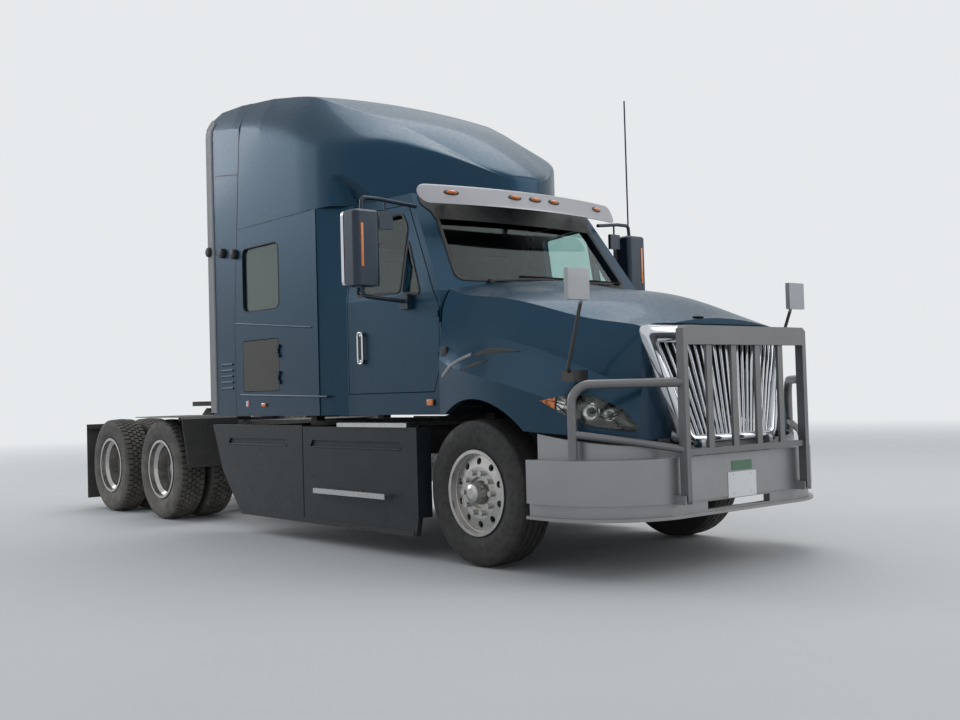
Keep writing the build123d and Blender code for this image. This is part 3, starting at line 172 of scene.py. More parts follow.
# A row: the slot; two colours; the scale of their patches; the range of roughness; the relief's scale, strength and
# distance; and what is special. Dust is its colour, the heights between which it fades, its amount and patches.
# Lower is a second colour and the heights between which it ends. Grain stretches the relief. The rest are fixed
# values of the shader
finishes = {
    "tealPaint": ("teal_paint", (0.008, 0.041, 0.076), (0.012, 0.050, 0.088), 1.3, (0.36, 0.46), (900, 0.02, 0.0003),
                  {"dust": (roadDust, (0.9, 1.9), 0.10, 7), "Metallic": 0.75, "Coat Weight": 0.20,
                   "Coat Roughness": 0.10, "Specular IOR Level": 0.25}),
    "skirtPaint": ("skirt_paint", (0.012, 0.020, 0.026), (0.018, 0.028, 0.034), 2.0, (0.36, 0.52),
                   (500, 0.03, 0.0004), {"dust": (roadDust, (0.1, 1.2), 0.15, 7), "Metallic": 0.2,
                                         "Coat Weight": 0.10, "Coat Roughness": 0.25, "Specular IOR Level": 0.28}),
    "framePaint": ("frame_paint", (0.020, 0.020, 0.021), (0.032, 0.030, 0.028), 6, (0.45, 0.7), (160, 0.15, 0.0008),
                   {"dust": (roadDust, (0.0, 1.6), 0.45, 7)}),
    "castMetal": ("cast_metal", (0.035, 0.033, 0.032), (0.060, 0.050, 0.042), 9, (0.5, 0.8), (220, 0.3, 0.001),
                  {"dust": (roadDust, (0.0, 1.4), 0.5, 7), "Metallic": 0.4}),
    "coreMetal": ("cast_metal", (0.030, 0.030, 0.032), (0.045, 0.044, 0.042), 12, (0.5, 0.7), (260, 0.4, 0.002),
                  {"grain": (1, 1, 14), "Metallic": 0.6}),
    "wheelMetal": ("bright_metal", (0.60, 0.59, 0.57), (0.42, 0.41, 0.40), 9, (0.22, 0.45), (300, 0.05, 0.0004),
                   {"dust": ((0.20, 0.17, 0.15), (0.2, 0.9), 0.22, 16), "Metallic": 0.95}),
    "tankMetal": ("bright_metal", (0.55, 0.55, 0.55), (0.45, 0.45, 0.45), 5, (0.2, 0.35), (90, 0.05, 0.001),
                  {"grain": (1, 20, 20), "Metallic": 1.0}),
    "bumperMetal": ("brushed_metal", (0.36, 0.36, 0.37), (0.31, 0.31, 0.32), 3, (0.34, 0.46), (420, 0.05, 0.0003),
                    {"dust": ((0.22, 0.20, 0.18), (0.3, 0.9), 0.3, 7), "grain": (1, 1, 12), "Metallic": 0.75}),
    # The guard is the bumper's brushed metal in a darker copy: painted shade, for the shade its bars lie in
    "guardMetalPaintedShade": ("brushed_metal", (0.21, 0.21, 0.215), (0.17, 0.17, 0.175), 3, (0.34, 0.46), (420, 0.05, 0.0003),
                   {"grain": (12, 12, 1), "Metallic": 0.75}),
    "chrome": ("bright_chrome", (0.66, 0.68, 0.71), (0.58, 0.60, 0.64), 4, (0.08, 0.18), (40, 0.02, 0.0004),
               {"Metallic": 1.0}),
    "visorMetal": ("brushed_metal", (0.41, 0.41, 0.43), (0.36, 0.36, 0.38), 3, (0.30, 0.42), (420, 0.04, 0.0003),
                   {"grain": (12, 1, 12), "Metallic": 0.7}),
    "mirrorPaint": ("mirror_paint", (0.36, 0.37, 0.39), (0.31, 0.32, 0.34), 4, (0.3, 0.42), (500, 0.03, 0.0003),
                    {"lower": ((0.040, 0.036, 0.034), (1.735, 1.755)), "Metallic": 0.3, "Coat Weight": 0.3}),
    "mirrorShell": ("mirror_paint", (0.012, 0.025, 0.044), (0.016, 0.031, 0.052), 3, (0.34, 0.44),
                    (600, 0.03, 0.0003), {"Metallic": 0.4, "Coat Weight": 0.15, "Coat Roughness": 0.1}),
    "fenderPlastic": ("fender_plastic", (0.022, 0.022, 0.022), (0.034, 0.033, 0.031), 8, (0.5, 0.7),
                      (260, 0.15, 0.0006), {"dust": (roadDust, (0.0, 1.3), 0.5, 7)}),
    "cabinPlastic": ("cabin_plastic", (0.035, 0.036, 0.038), (0.048, 0.048, 0.050), 5, (0.55, 0.7),
                     (900, 0.25, 0.0004)),
    "screenPanel": ("cabin_plastic", (0.15, 0.125, 0.115), (0.12, 0.10, 0.092), 4, (0.6, 0.75), (900, 0.2, 0.0004)),
    "seatCloth": ("seat_cloth", (0.045, 0.047, 0.052), (0.065, 0.065, 0.068), 60, (0.75, 0.9), (1200, 0.4, 0.0005),
                  {"Sheen Weight": 0.4}),
    "amberLens": ("amber_lens", (0.80, 0.22, 0.02), (0.70, 0.16, 0.015), 30, (0.12, 0.22), (240, 0.3, 0.0006),
                  {"grain": (1, 10, 1), "Coat Weight": 0.8}),
    "redLens": ("amber_lens", (0.55, 0.012, 0.010), (0.42, 0.008, 0.008), 30, (0.12, 0.22), (240, 0.3, 0.0006),
                {"Coat Weight": 0.8}),
    "tyreRubber": ("tyre_rubber", (0.012, 0.012, 0.012), (0.019, 0.018, 0.018), 14, (0.6, 0.85), (420, 0.2, 0.0006),
                   {"dust": ((0.13, 0.115, 0.10), (0.0, 1.5), 0.20, 9)}),
    "dustyRubber": ("tyre_rubber", (0.020, 0.020, 0.020), (0.030, 0.029, 0.028), 14, (0.6, 0.85),
                    (420, 0.2, 0.0006), {"dust": (rubberDust, (0.0, 1.5), 0.80, 9)}),
    "sealRubber": ("fender_plastic", (0.016, 0.016, 0.017), (0.024, 0.024, 0.024), 12, (0.5, 0.65),
                   (500, 0.15, 0.0004)),
    "stripRubber": ("fender_plastic", (0.20, 0.205, 0.21), (0.26, 0.265, 0.27), 7, (0.5, 0.65), (300, 0.15, 0.0004)),
    # The luggage doors wear the body's paint: this dark brown colour is a painted reflection of dark surroundings in
    # their panels
    "hatchPaintedReflection": ("teal_paint", (0.022, 0.021, 0.018), (0.030, 0.028, 0.023), 2.0, (0.22, 0.34), (700, 0.02, 0.0003),
                   {"dust": (roadDust, (0.9, 1.9), 0.05, 7), "Metallic": 0.2, "Coat Weight": 0.20,
                    "Coat Roughness": 0.10, "Specular IOR Level": 0.3}),
    "lampBowl": ("bright_chrome", (0.88, 0.88, 0.88), (0.80, 0.80, 0.81), 18, (0.10, 0.20), (160, 0.08, 0.0006),
                 {"Metallic": 0.9}),
    "lampDark": ("bright_chrome", (0.045, 0.065, 0.055), (0.060, 0.085, 0.070), 18, (0.18, 0.30),
                 (160, 0.08, 0.0006), {"Metallic": 0.6}),
    "plateWhite": ("brushed_metal", (0.80, 0.80, 0.78), (0.74, 0.74, 0.73), 16, (0.35, 0.5), (120, 0.05, 0.0005)),
    "plateGreen": ("brushed_metal", (0.08, 0.19, 0.11), (0.10, 0.22, 0.14), 16, (0.35, 0.5), (120, 0.05, 0.0005)),
}
made = {name: makeFinish(name, *row[1:]) for name, row in finishes.items()}


# Clear glass with a faint film of dust: the tint falls to 0.92 of itself in the clouds
def makeGlass(name, tint, roughness):
    finish = Finish(name)
    cloud = finish.noise(5, 5)
    finish.shade("Base Color", finish.mixed(cloud, tint, tuple(0.92 * part for part in tint)))
    finish.shade("Roughness", finish.ranged(cloud, (0.3, 0.7), roughness))
    finish.bump(finish.noise(3, 2), 0.02, 0.002)
    finish.shader.inputs["Transmission Weight"].default_value = 1.0
    finish.shader.inputs["IOR"].default_value = 1.45
    return finish.material


# A row: the slot, the tint and the range of roughness
glasses = {"windowGlass": ("window_glass", (0.58, 0.76, 0.73), (0.0, 0.02)),
           "lampGlass": ("lamp_lens", (0.94, 0.97, 0.95), (0.0, 0.03))}
made.update({name: makeGlass(name, *row[1:]) for name, row in glasses.items()})

nodeFinishes = {
    "tealPaint": ["cab_shell", "sleeper_shell", "roof_fairing", "side_extenders", "hood", "door_right", "door_left"],
    # The luggage doors' dark brown is a painted reflection on the body's paint
    "hatchPaintedReflection": ["luggage_door_right", "luggage_door_left"],
    "skirtPaint": ["side_skirts"],
    "framePaint": ["chassis_frame"],
    "castMetal": ["engine_block", "front_axle", "drive_axles", "knuckle_right", "knuckle_left", "fifth_wheel",
                  "fifth_wheel_base"],
    "coreMetal": ["radiator"],
    "wheelMetal": [name for name in nodes if name.startswith("wheel")],
    "tankMetal": ["tanks", "step_treads"],
    "bumperMetal": ["bumper"],
    # The guard's darker metal is painted shade
    "guardMetalPaintedShade": ["guard"],
    "visorMetal": ["sun_visor"],
    "chrome": ["grille"],
    "windowGlass": ["cab_glazing", "door_glass_right", "door_glass_left"],
    "lampGlass": ["headlamps"],
    "amberLens": ["lamps"],
    "mirrorShell": ["door_mirror_right", "door_mirror_left"],
    "mirrorPaint": ["hood_mirrors"],
    "fenderPlastic": ["rear_fenders"],
    "cabinPlastic": ["cab_interior"],
    "seatCloth": ["seats"],
    "tyreRubber": [name for name in nodes if name.startswith("tyre")],
}
for finishName, nodeNames in nodeFinishes.items():
    for nodeName in nodeNames:
        for holder in nodes[nodeName].material_slots:
            holder.material = made[finishName]
print("finishes on the solids")


# A closed outline with its corners rounded: each corner is a parabola between points one radius away
def roundedOutline(corners, radius, steps=6):
    corners = np.asarray(corners, float)
    before, after = np.roll(corners, 1, 0) - corners, np.roll(corners, -1, 0) - corners
    start = corners + before * radius / np.linalg.norm(before, axis=1, keepdims=True)
    end = corners + after * radius / np.linalg.norm(after, axis=1, keepdims=True)
    u = np.linspace(0, 1, steps)[None, :, None]
    points = (1 - u) ** 2 * start[:, None] + 2 * u * (1 - u) * corners[:, None] + u ** 2 * end[:, None]
    return points.reshape(-1, corners.shape[1])


# The same line cut into even steps of about the given length
def evenSteps(points, spacing, closed=False):
    points = np.asarray(points, float)
    if closed:
        points = np.concatenate([points, points[:1]])
    lengths = np.concatenate([[0], np.cumsum(np.linalg.norm(np.diff(points, axis=0), axis=1))])
    count = max(4, int(round(lengths[-1] / spacing)))
    places = np.linspace(0, lengths[-1], count + 1)[: count if closed else count + 1]
    return np.stack([np.interp(places, lengths, points[:, k]) for k in range(points.shape[1])], -1)


def roundedLoop(corners, radius, spacing):
    return evenSteps(roundedOutline(corners, radius), spacing, True)


# A section (outward, sideways) carried along a path: point = path + outward * normal + sideways * (way x normal)
def carried(section, path, normals, closed=True):
    section, path = np.asarray(section, float), np.asarray(path, float)
    if closed:
        way = np.roll(path, -1, 0) - np.roll(path, 1, 0)
    else:
        way = np.gradient(path, axis=0)
    way = way / np.linalg.norm(way, axis=1, keepdims=True)
    normals = np.broadcast_to(np.asarray(normals, float), path.shape)
    normals = normals - way * (normals * way).sum(1, keepdims=True)
    normals = normals / np.linalg.norm(normals, axis=1, keepdims=True)
    sideways = np.cross(way, normals)
    points = path[:, None] + section[None, :, :1] * normals[:, None] + section[None, :, 1:] * sideways[:, None]
    faces = gridFaces(len(path), len(section), wrapRows=closed, wrapColumns=True).tolist()
    if not closed:
        first = list(range(len(section)))
        last = [corner + (len(path) - 1) * len(section) for corner in first]
        faces += [first, last[::-1]]
    return points.reshape(-1, 3), faces


# A strip's section: flat on the skin, with its two outer edges cut off
def flatSection(proud, width, edge):
    half = width / 2
    right = [(proud, half - edge), (proud - edge, half), (0, half)]
    return [(out, -across) for out, across in right[::-1]] + right


def fullTurn(count):
    return np.arange(count) * 2 * math.pi / count


# A shell from a grid whose every row is a closed ring of points
def ringShell(points):
    return points, gridFaces(*points.shape[:2], wrapColumns=True)


# Rings round a centre, each with its radius and its height along out; first and second span the rings' plane
def turnedShell(centre, out, first, second, radii, heights, count=28):
    turn = fullTurn(count)
    circle = np.cos(turn)[:, None] * first + np.sin(turn)[:, None] * second
    radii, heights = np.array(radii)[:, None, None], np.array(heights)[:, None, None]
    return ringShell(centre + radii * circle + heights * np.array(out))


def domeShell(place, way, radius, height, count=12):
    way = np.array(way, float)
    first = np.cross(way, (0.0, 0.0, 1.0) if abs(way[2]) < 0.9 else (1.0, 0.0, 0.0))
    first /= np.linalg.norm(first)
    radii, heights = np.array([0.01, 0.6, 0.9, 1.0, 1.0]), np.array([1.0, 0.9, 0.6, 0.2, -0.1])
    return turnedShell(np.array(place), way, first, np.cross(way, first), radii * radius, heights * height, count)


# A block with rounded edges: each point of a gridded cube lies one radius off the nearest point of an inner block
def roundedBlock(low, high, radius, count=5):
    low, high = np.minimum(low, high).astype(float), np.maximum(low, high).astype(float)
    centre, half = (low + high) / 2, (high - low) / 2
    radius = min(radius, 0.999 * half.min())
    line = np.concatenate([np.tan(np.linspace(-1, 0, count) * math.pi / 4)[:-1] - 1.0, [-1.0, 1.0],
                           1.0 + np.tan(np.linspace(0, 1, count) * math.pi / 4)[1:]])
    inner = half - radius
    a, b = np.meshgrid(line, line, indexing="ij")
    points, faces = [], []
    for axis in range(3):
        others = [k for k in range(3) if k != axis]
        for sign in (-1, 1):
            point = np.full(a.shape + (3,), sign * inner[axis])
            lean = np.full(a.shape + (3,), float(sign))
            for grid, other in zip((a, b), others):
                corner = np.clip(grid, -1, 1)
                point[..., other] = corner * inner[other]
                lean[..., other] = grid - corner
            lean = lean / np.linalg.norm(lean, axis=-1, keepdims=True)
            quads = gridFaces(len(line), len(line))
            faces.append((quads[:, ::-1] if (sign > 0) == (axis == 1) else quads) + len(points) * len(line) ** 2)
            points.append((centre + point + radius * lean).reshape(-1, 3))
    return np.concatenate(points), np.concatenate(faces)


# Tyres: one section carried round the axle. Radius is the section's radius less the depth of the grooves:
# a groove round the tyre has its own depth, and a slot across it comes once a lug, shifted from rib to rib
tyreLook = {
    "halfWidth": 0.140, "treadHalf": 0.110, "crown": 0.008, "beadRadius": 0.300, "shoulderDrop": 0.045,
    "sideTuck": 0.022, "sideFlare": 0.004, "ringWidth": 0.006,
    "sideRings": [(0.325, 0.0018), (0.345, 0.0010), (0.430, 0.0016), (0.452, 0.0012)],
    "dualMiddle": 0.915, "dualHalfSpacing": 0.170, "steerY": 1.010,
    # Steps are the places of a lug's four rows of points, and slot says which of them lie in the slot
    "steer": {"grooves": (-0.075, -0.027, 0.027, 0.075), "grooveWidth": 0.010, "depth": 0.014, "lugs": 40,
              "slotDepth": 0.0, "wave": 0.0022, "steps": (0.0, 0.25, 0.5, 0.75), "slot": (0, 0, 0, 0)},
    "drive": {"grooves": (-0.066, -0.022, 0.022, 0.066), "grooveWidth": 0.007, "depth": 0.019, "lugs": 54,
              "slotDepth": 0.016, "wave": 0.0, "steps": (0.0, 0.10, 0.22, 0.32), "slot": (0, 1, 1, 0)},
}


def tyreSection(pattern):
    look = tyreLook
    half, tread, tuck = look["halfWidth"], look["treadHalf"], look["sideTuck"]
    low, shoulder = look["beadRadius"], tyreRadius - look["shoulderDrop"]
    climb = np.linspace(0, 1, 15)
    radius = low + (shoulder - low) * climb
    bulge = half - tuck + tuck * np.sin(np.pi * np.clip(climb * 0.82, 0, 1)) ** 0.9 + look["sideFlare"] * climb
    bulge = np.minimum(bulge, half)
    for ring, proud in look["sideRings"]:
        bulge = bulge + proud * np.exp(-((radius - ring) / look["ringWidth"]) ** 2)
    bulge = np.minimum(bulge, half)
    turn = np.linspace(0, 1, 5)[1:-1]
    edgeY = bulge[-1] + (tread - bulge[-1]) * turn ** 1.4
    edgeR = shoulder + (tyreRadius - look["crown"] - shoulder) * np.sin(turn * math.pi / 2)
    sideY, sideR = np.concatenate([bulge, edgeY]), np.concatenate([radius, edgeR])
    treadY, treadDepth = [tread], [0.0]
    for centre in reversed(pattern["grooves"]):
        w = pattern["grooveWidth"] / 2
        treadY += [centre + w, centre + w * 0.7, centre - w * 0.7, centre - w]
        treadDepth += [0.0, pattern["depth"], pattern["depth"], 0.0]
    treadY, treadDepth = np.array(treadY + [-tread]), np.array(treadDepth + [0.0])
    treadR = tyreRadius - look["crown"] * np.abs(treadY) / tread
    y = np.concatenate([sideY, treadY, -sideY[::-1]])
    r = np.concatenate([sideR, treadR, sideR[::-1]])
    groove = np.concatenate([0 * sideY, treadDepth, 0 * sideY])
    onTread = np.concatenate([0 * sideY, 0 * treadY + 1, 0 * sideY])
    onTread[len(sideY) - 2: len(sideY)] = onTread[-len(sideY): -len(sideY) + 2] = 0.5
    return y, r, groove, onTread


def tyreShell(x, y0, pattern):
    y, r, groove, onTread = tyreSection(pattern)
    lugs = pattern["lugs"]
    step = 2 * math.pi / lugs
    base = (np.arange(lugs)[:, None] + np.array(pattern["steps"])).reshape(-1) * step
    inSlot = np.tile(pattern["slot"], lugs)
    rib = np.searchsorted(np.array(pattern["grooves"]), y)
    shift = np.where(onTread > 0, (rib % 2) * 0.5, 0.0) * step
    depth = np.maximum(groove, inSlot[:, None] * onTread * pattern["slotDepth"])
    angle = base[:, None] + shift
    radius = r - depth
    wave = pattern["wave"] * np.sin(base * lugs)[:, None] * (onTread == 1) * (np.abs(y) < 0.1)
    across = y0 + y + wave + 0 * radius
    points = np.stack([x + radius * np.sin(angle), across, tyreRadius + radius * np.cos(angle)], -1)
    return points, gridFaces(len(base), len(y), wrapRows=True, wrapColumns=True)


def makeTyres():
    look = tyreLook
    for side, sign in sides.items():
        shell = tyreShell(frontAxle, sign * look["steerY"], look["steer"])
        tyre = makePiece(f"steerTyre_{side}", [shell], "tyreRubber", f"front_wheel_body_{side}")
        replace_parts(tyre, f"tyre_front_{side}")
        for row, x in driveAxles.items():
            pair = [tyreShell(x, sign * (look["dualMiddle"] + offset), look["drive"])
                    for offset in (-look["dualHalfSpacing"], look["dualHalfSpacing"])]
            tyre = makePiece(f"driveTyres_{row}_{side}", pair, "dustyRubber", f"{row}_drive_body_{side}")
            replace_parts(tyre, f"tyres_{row}_drive_{side}")


makeTyres()
print("tyres made")


# Places in the source's own measure, whose x starts at the front axle, moved to the frame's
def placed(x, y, z):
    return np.stack(np.broadcast_arrays(frontAxle + np.asarray(x), y, z), -1).astype(float)


# A rounded block from such ranges of x, y and z
def placedBlock(x, y, z, radius):
    return roundedBlock(*[placed(*corner) for corner in zip(x, y, z)], radius)


# The cab's outer side at (x, z): straight up to the belt, leaning in above it, widening back to the pillar
cabLook = {"front": -0.400, "frontTop": -0.920, "half": 1.090, "halfTop": 0.940, "pillar": -1.620, "belt": 1.950,
           "top": 2.750, "bow": 0.090, "tail": -1.900, "tailHalf": 1.190, "glassNormal": (0.84, 0, 0.54)}


def cabSide(x, z):
    look = cabLook
    share = np.clip((z - look["belt"]) / (look["top"] - look["belt"]), 0, 1)
    front = look["front"] + (look["frontTop"] - look["front"]) * share
    half = look["half"] + (look["halfTop"] - look["half"]) * share
    waist = half + 0.010 + 0.050 * share
    along = np.clip((front - x) / (front - look["pillar"]), 0, 1)
    behind = np.clip((look["pillar"] - x) / (look["pillar"] - look["tail"]), 0, 1)
    return half + (waist - half) * along + (look["tailHalf"] - waist) * behind


# The windshield's outer face at (y, z): leaning back as it rises and bowed across
def windshieldX(y, z):
    look = cabLook
    share = (z - look["belt"]) / (look["top"] - look["belt"])
    front = look["front"] + (look["frontTop"] - look["front"]) * share
    half = look["half"] + (look["halfTop"] - look["half"]) * share
    return front + look["bow"] * (1 - (y / half) ** 2)


def onCabSide(outline, sign, proud=0.0):
    x, z = outline.T
    return placed(x, sign * (cabSide(x, z) + proud), z)


# Where straight lines first meet the skin of some nodes, and which way that skin faces
def skinTree(names):
    points, faces, start = [], [], 0
    for name in names:
        node = nodes[name]
        points += [node.matrix_world @ vertex.co for vertex in node.data.vertices]
        faces += [[corner + start for corner in face.vertices] for face in node.data.polygons]
        start = len(points)
    return BVHTree.FromPolygons(points, faces)


def onSkin(tree, starts, way):
    places, normals = [], []
    for start in starts:
        place, normal, _, _ = tree.ray_cast(Vector(start), Vector(way))
        if place is None:
            place, normal, _, _ = tree.find_nearest(Vector(start))
        if normal.dot(Vector(way)) > 0:
            normal = -normal
        places.append(place)
        normals.append(normal)
    return np.array(places), np.array(normals)


# The same for points (x, z) seen from one side, from beyond the mirrors
def onSide(tree, points, sign):
    x, z = np.asarray(points).T
    return onSkin(tree, placed(x, sign * 1.6, z), (0, -sign, 0))


# Window surrounds: a rubber section laid along each opening's edge on the skin, and behind each sleeper pane a plain
# screen: its outline drawn in to a point before and behind
sealLook = {"width": 0.020, "proud": 0.006, "edge": 0.003, "step": 0.03,
            "doorPanes": [
                ([(-0.895, 1.975), (-1.480, 1.995), (-1.480, 2.580), (-0.985, 2.600), (-0.895, 2.475)], 0.040),
                ([(-0.640, 1.945), (-0.865, 1.965), (-0.865, 2.370)], 0.022)],
            "sleeperPane": [(-2.520, 1.985), (-3.165, 1.985), (-3.165, 2.560), (-2.520, 2.560)],
            "sleeperRadius": 0.072, "sleeperHalf": 1.200, "sleeperWidth": 0.012,
            "screenShares": (0.01, 1.0, 1.0, 0.01), "screenDepths": (0.036, 0.036, 0.040, 0.040),
            "windshield": [(-0.900, 2.045), (0.900, 2.045), (0.800, 2.640), (-0.800, 2.640)],
            "windshieldRadius": 0.065, "windshieldWidth": 0.034}


def makeSeals():
    look = sealLook
    section, slim, wide = [flatSection(look[proud], look[width], look["edge"]) for proud, width in
                           (("proud", "width"), ("edge", "sleeperWidth"), ("proud", "windshieldWidth"))]
    for side, sign in sides.items():
        out = (0, sign, 0)
        shells = [carried(section, onCabSide(roundedLoop(corners, radius, look["step"]), sign), out)
                  for corners, radius in look["doorPanes"]]
        makePiece(f"doorSeal_{side}", shells, "sealRubber", f"door_body_{side}")
        outline = roundedLoop(look["sleeperPane"], look["sleeperRadius"], look["step"])
        path = placed(outline[:, 0], sign * look["sleeperHalf"], outline[:, 1])
        makePiece(f"sleeperSeal_{side}", [carried(slim, path, out)], "sealRubber")
        middle = outline.mean(0)
        rings = middle + (outline - middle) * np.array(look["screenShares"])[:, None, None]
        y = sign * (look["sleeperHalf"] - np.array(look["screenDepths"])[:, None])
        makePiece(f"sleeperScreen_{side}", [ringShell(placed(rings[..., 0], y, rings[..., 1]))], "screenPanel")
    y, z = roundedLoop(look["windshield"], look["windshieldRadius"], look["step"]).T
    path = placed(windshieldX(y, z), y, z)
    makePiece("windshieldSeal", [carried(wide, path, cabLook["glassNormal"])], "sealRubber")


makeSeals()


# Door handles: a bright upright loop on two feet over a dark dish in the skin
handleLook = {"x": (-1.435, -1.372), "z": (1.455, 1.700), "radius": 0.009, "turn": 0.028, "standOff": 0.024,
              "footInset": 0.02, "footHalf": (0.02, 0.001, 0.012), "footRadius": 0.006,
              "dishTurn": 0.03, "dishLift": 0.0005, "dishDepth": 0.003}


def makeDoorHandles():
    look = handleLook
    (x0, x1), (z0, z1) = look["x"], look["z"]
    middleX, half = (x0 + x1) / 2, np.array(look["footHalf"])
    corners = [(x0, z0), (x0, z1), (x1, z1), (x1, z0)]
    turn = fullTurn(12)
    section = look["radius"] * np.stack([np.cos(turn), np.sin(turn)], -1)
    grow = np.linspace(1.0, 0.0, 6)[:, None, None]
    for side, sign in sides.items():
        path = onCabSide(roundedLoop(corners, look["turn"], 0.008), sign, look["standOff"])
        shells = [carried(section, path, (0, sign, 0))]
        for z in (z0 + look["footInset"], z1 - look["footInset"]):
            y = sign * cabSide(middleX, z)
            low, high = placed(middleX, y, z) - half, placed(middleX, y + sign * look["standOff"], z) + half
            shells.append(roundedBlock(low, high, look["footRadius"]))
        makePiece(f"doorHandle_{side}", shells, "chrome", f"door_body_{side}")
        dish = onCabSide(roundedLoop(corners, look["dishTurn"], 0.02), sign, look["dishLift"])
        middle = dish.mean(0)
        sheet = middle + (dish - middle) * grow + np.array((0, sign * look["dishDepth"], 0)) * (1 - grow)
        makePiece(f"handleDish_{side}", [ringShell(sheet)], "sealRubber", f"door_body_{side}")


makeDoorHandles()


# Door mirrors: the glass at the back of the head, a bright rim round it, and an amber strip down the head's front.
# The x values of the parts are counted from the head's back and front
mirrorLook = {"x": (-0.945, -0.770), "y": (1.340, 1.565), "z": (2.008, 2.563), "inset": 0.018,
              "glassX": (-0.004, 0.002), "glassRadius": 0.003, "rimRadius": 0.034, "rimX": 0.012,
              "rimSection": [(-0.012, -0.004), (0.022, -0.004), (0.022, 0.003), (-0.012, 0.003)],
              "amberX": (-0.003, 0.006), "amberY": (1.494, 1.516), "amberZ": (2.140, 2.460), "amberRadius": 0.006}


def makeMirrorTrim():
    look = mirrorLook
    (back, front), (y0, y1), (z0, z1), inset = look["x"], look["y"], look["z"], look["inset"]
    loop = roundedLoop([(y0, z0), (y1, z0), (y1, z1), (y0, z1)], look["rimRadius"], 0.02)
    for side, sign in sides.items():
        body = f"door_body_{side}"
        glass = placedBlock([back + x for x in look["glassX"]], (sign * (y0 + inset), sign * (y1 - inset)),
                            (z0 + inset, z1 - inset), look["glassRadius"])
        makePiece(f"mirrorGlass_{side}", [glass], "chrome", body)
        rim = carried(look["rimSection"], placed(back + look["rimX"], sign * loop[:, 0], loop[:, 1]), (-1, 0, 0))
        makePiece(f"mirrorRim_{side}", [rim], "chrome", body)
        marker = placedBlock([front + x for x in look["amberX"]], [sign * y for y in look["amberY"]], look["amberZ"],
                             look["amberRadius"])
        makePiece(f"mirrorMarker_{side}", [marker], "amberLens", body)


makeMirrorTrim()


# Wipers: an arm and a blade on each half of the windshield, lying along its foot. Up and out are counted from the
# pivot's height and from the glass
wiperLook = {"pivots": (-0.62, 0.10), "pivotZ": 1.960, "reach": 0.62, "rise": 0.030, "armUp": 0.075, "armOut": 0.030,
             "bladeUp": 0.085, "bladeOut": 0.010, "bladeHalf": 0.33, "bladeTail": 0.4,
             "bladeSection": [(0, -0.004), (0.016, -0.003), (0.022, 0), (0.016, 0.003), (0, 0.004)],
             "footUp": (0.06, 0.07), "footOut": 0.01, "footHalf": 0.022, "footRadius": 0.012}


def makeWipers():
    look = wiperLook
    shells = []
    for pivot in look["pivots"]:
        tip = pivot + look["reach"]
        along = np.linspace(0, 1, 14)
        armY = pivot + look["reach"] * along
        armZ = look["pivotZ"] + look["armUp"] + look["rise"] * np.sin(along * math.pi / 2)
        bladeY = np.linspace(tip - look["bladeHalf"], tip + look["bladeHalf"] * look["bladeTail"], 18)
        bladeZ = look["pivotZ"] + look["bladeUp"] + look["rise"] + 0 * bladeY
        for section, y, z, out in ((flatSection(0.008, 0.016, 0.002), armY, armZ, look["armOut"]),
                                   (look["bladeSection"], bladeY, bladeZ, look["bladeOut"])):
            path = placed(windshieldX(y, z) + out, y, z)
            shells.append(carried(section, path, cabLook["glassNormal"], closed=False))
        low, high = [look["pivotZ"] + up for up in look["footUp"]]
        foot = placed(windshieldX(pivot, low) + look["footOut"], pivot, high)
        shells.append(roundedBlock(foot - look["footHalf"], foot + look["footHalf"], look["footRadius"]))
    makePiece("wipers", shells, "sealRubber")


makeWipers()
print("cab trim made")


# Roof: a section carried along x, from the solid's own stations but with no corner between them. From the base up,
# half the section is a straight side, a curve bulging by b between side and shoulder, and a crown that falls by the
# square of y. The side is held inside the plan by a soft minimum, and pressed in over the door by two smooth steps
roofLook = {
    # x, the side's height, half width and height of the shoulder, the crown's height, the bulge
    "stations": [(-3.780, 3.400, 1.125, 3.925, 3.985, 0.045), (-3.300, 3.360, 1.095, 3.920, 3.985, 0.050),
                 (-2.800, 3.300, 1.040, 3.885, 3.955, 0.060), (-2.300, 3.210, 0.960, 3.805, 3.855, 0.070),
                 (-1.900, 3.120, 0.850, 3.640, 3.700, 0.080), (-1.400, 2.990, 0.620, 3.400, 3.480, 0.085),
                 (-1.000, 2.890, 0.460, 3.150, 3.230, 0.070), (-0.720, 2.820, 0.350, 2.960, 3.005, 0.040),
                 (-0.600, 2.780, 0.260, 2.860, 2.880, 0.015)],
    "ruledTo": -2.800, "side": 1.230, "sideBase": 2.700, "sideShare": 0.33, "shoulderShare": 0.70,
    "plan": [(-3.780, 1.200), (-2.200, 1.200), (-1.900, 1.188), (-1.650, 1.135), (-1.450, 1.050), (-1.250, 0.900),
             (-1.000, 0.670), (-0.850, 0.510), (-0.750, 0.380), (-0.680, 0.250), (-0.635, 0.120)],
    "softness": (0.010, 0.050), "softFrom": (-2.000, -1.000), "rear": -3.420, "front": -0.636, "base": 2.7515,
    "visorX": (-0.835, -0.795), "visorBase": 2.797, "recessSide": (0.985, 2.755, 0.568), "recessTop": (2.945, 3.015),
    "recessRear": (-1.740, -1.600), "rows": 150, "columns": 150, "rowCrowding": 0.9}


def smoothStep(value, low, high):
    t = np.clip((value - low) / (high - low), 0, 1)
    return t * t * (3 - 2 * t)


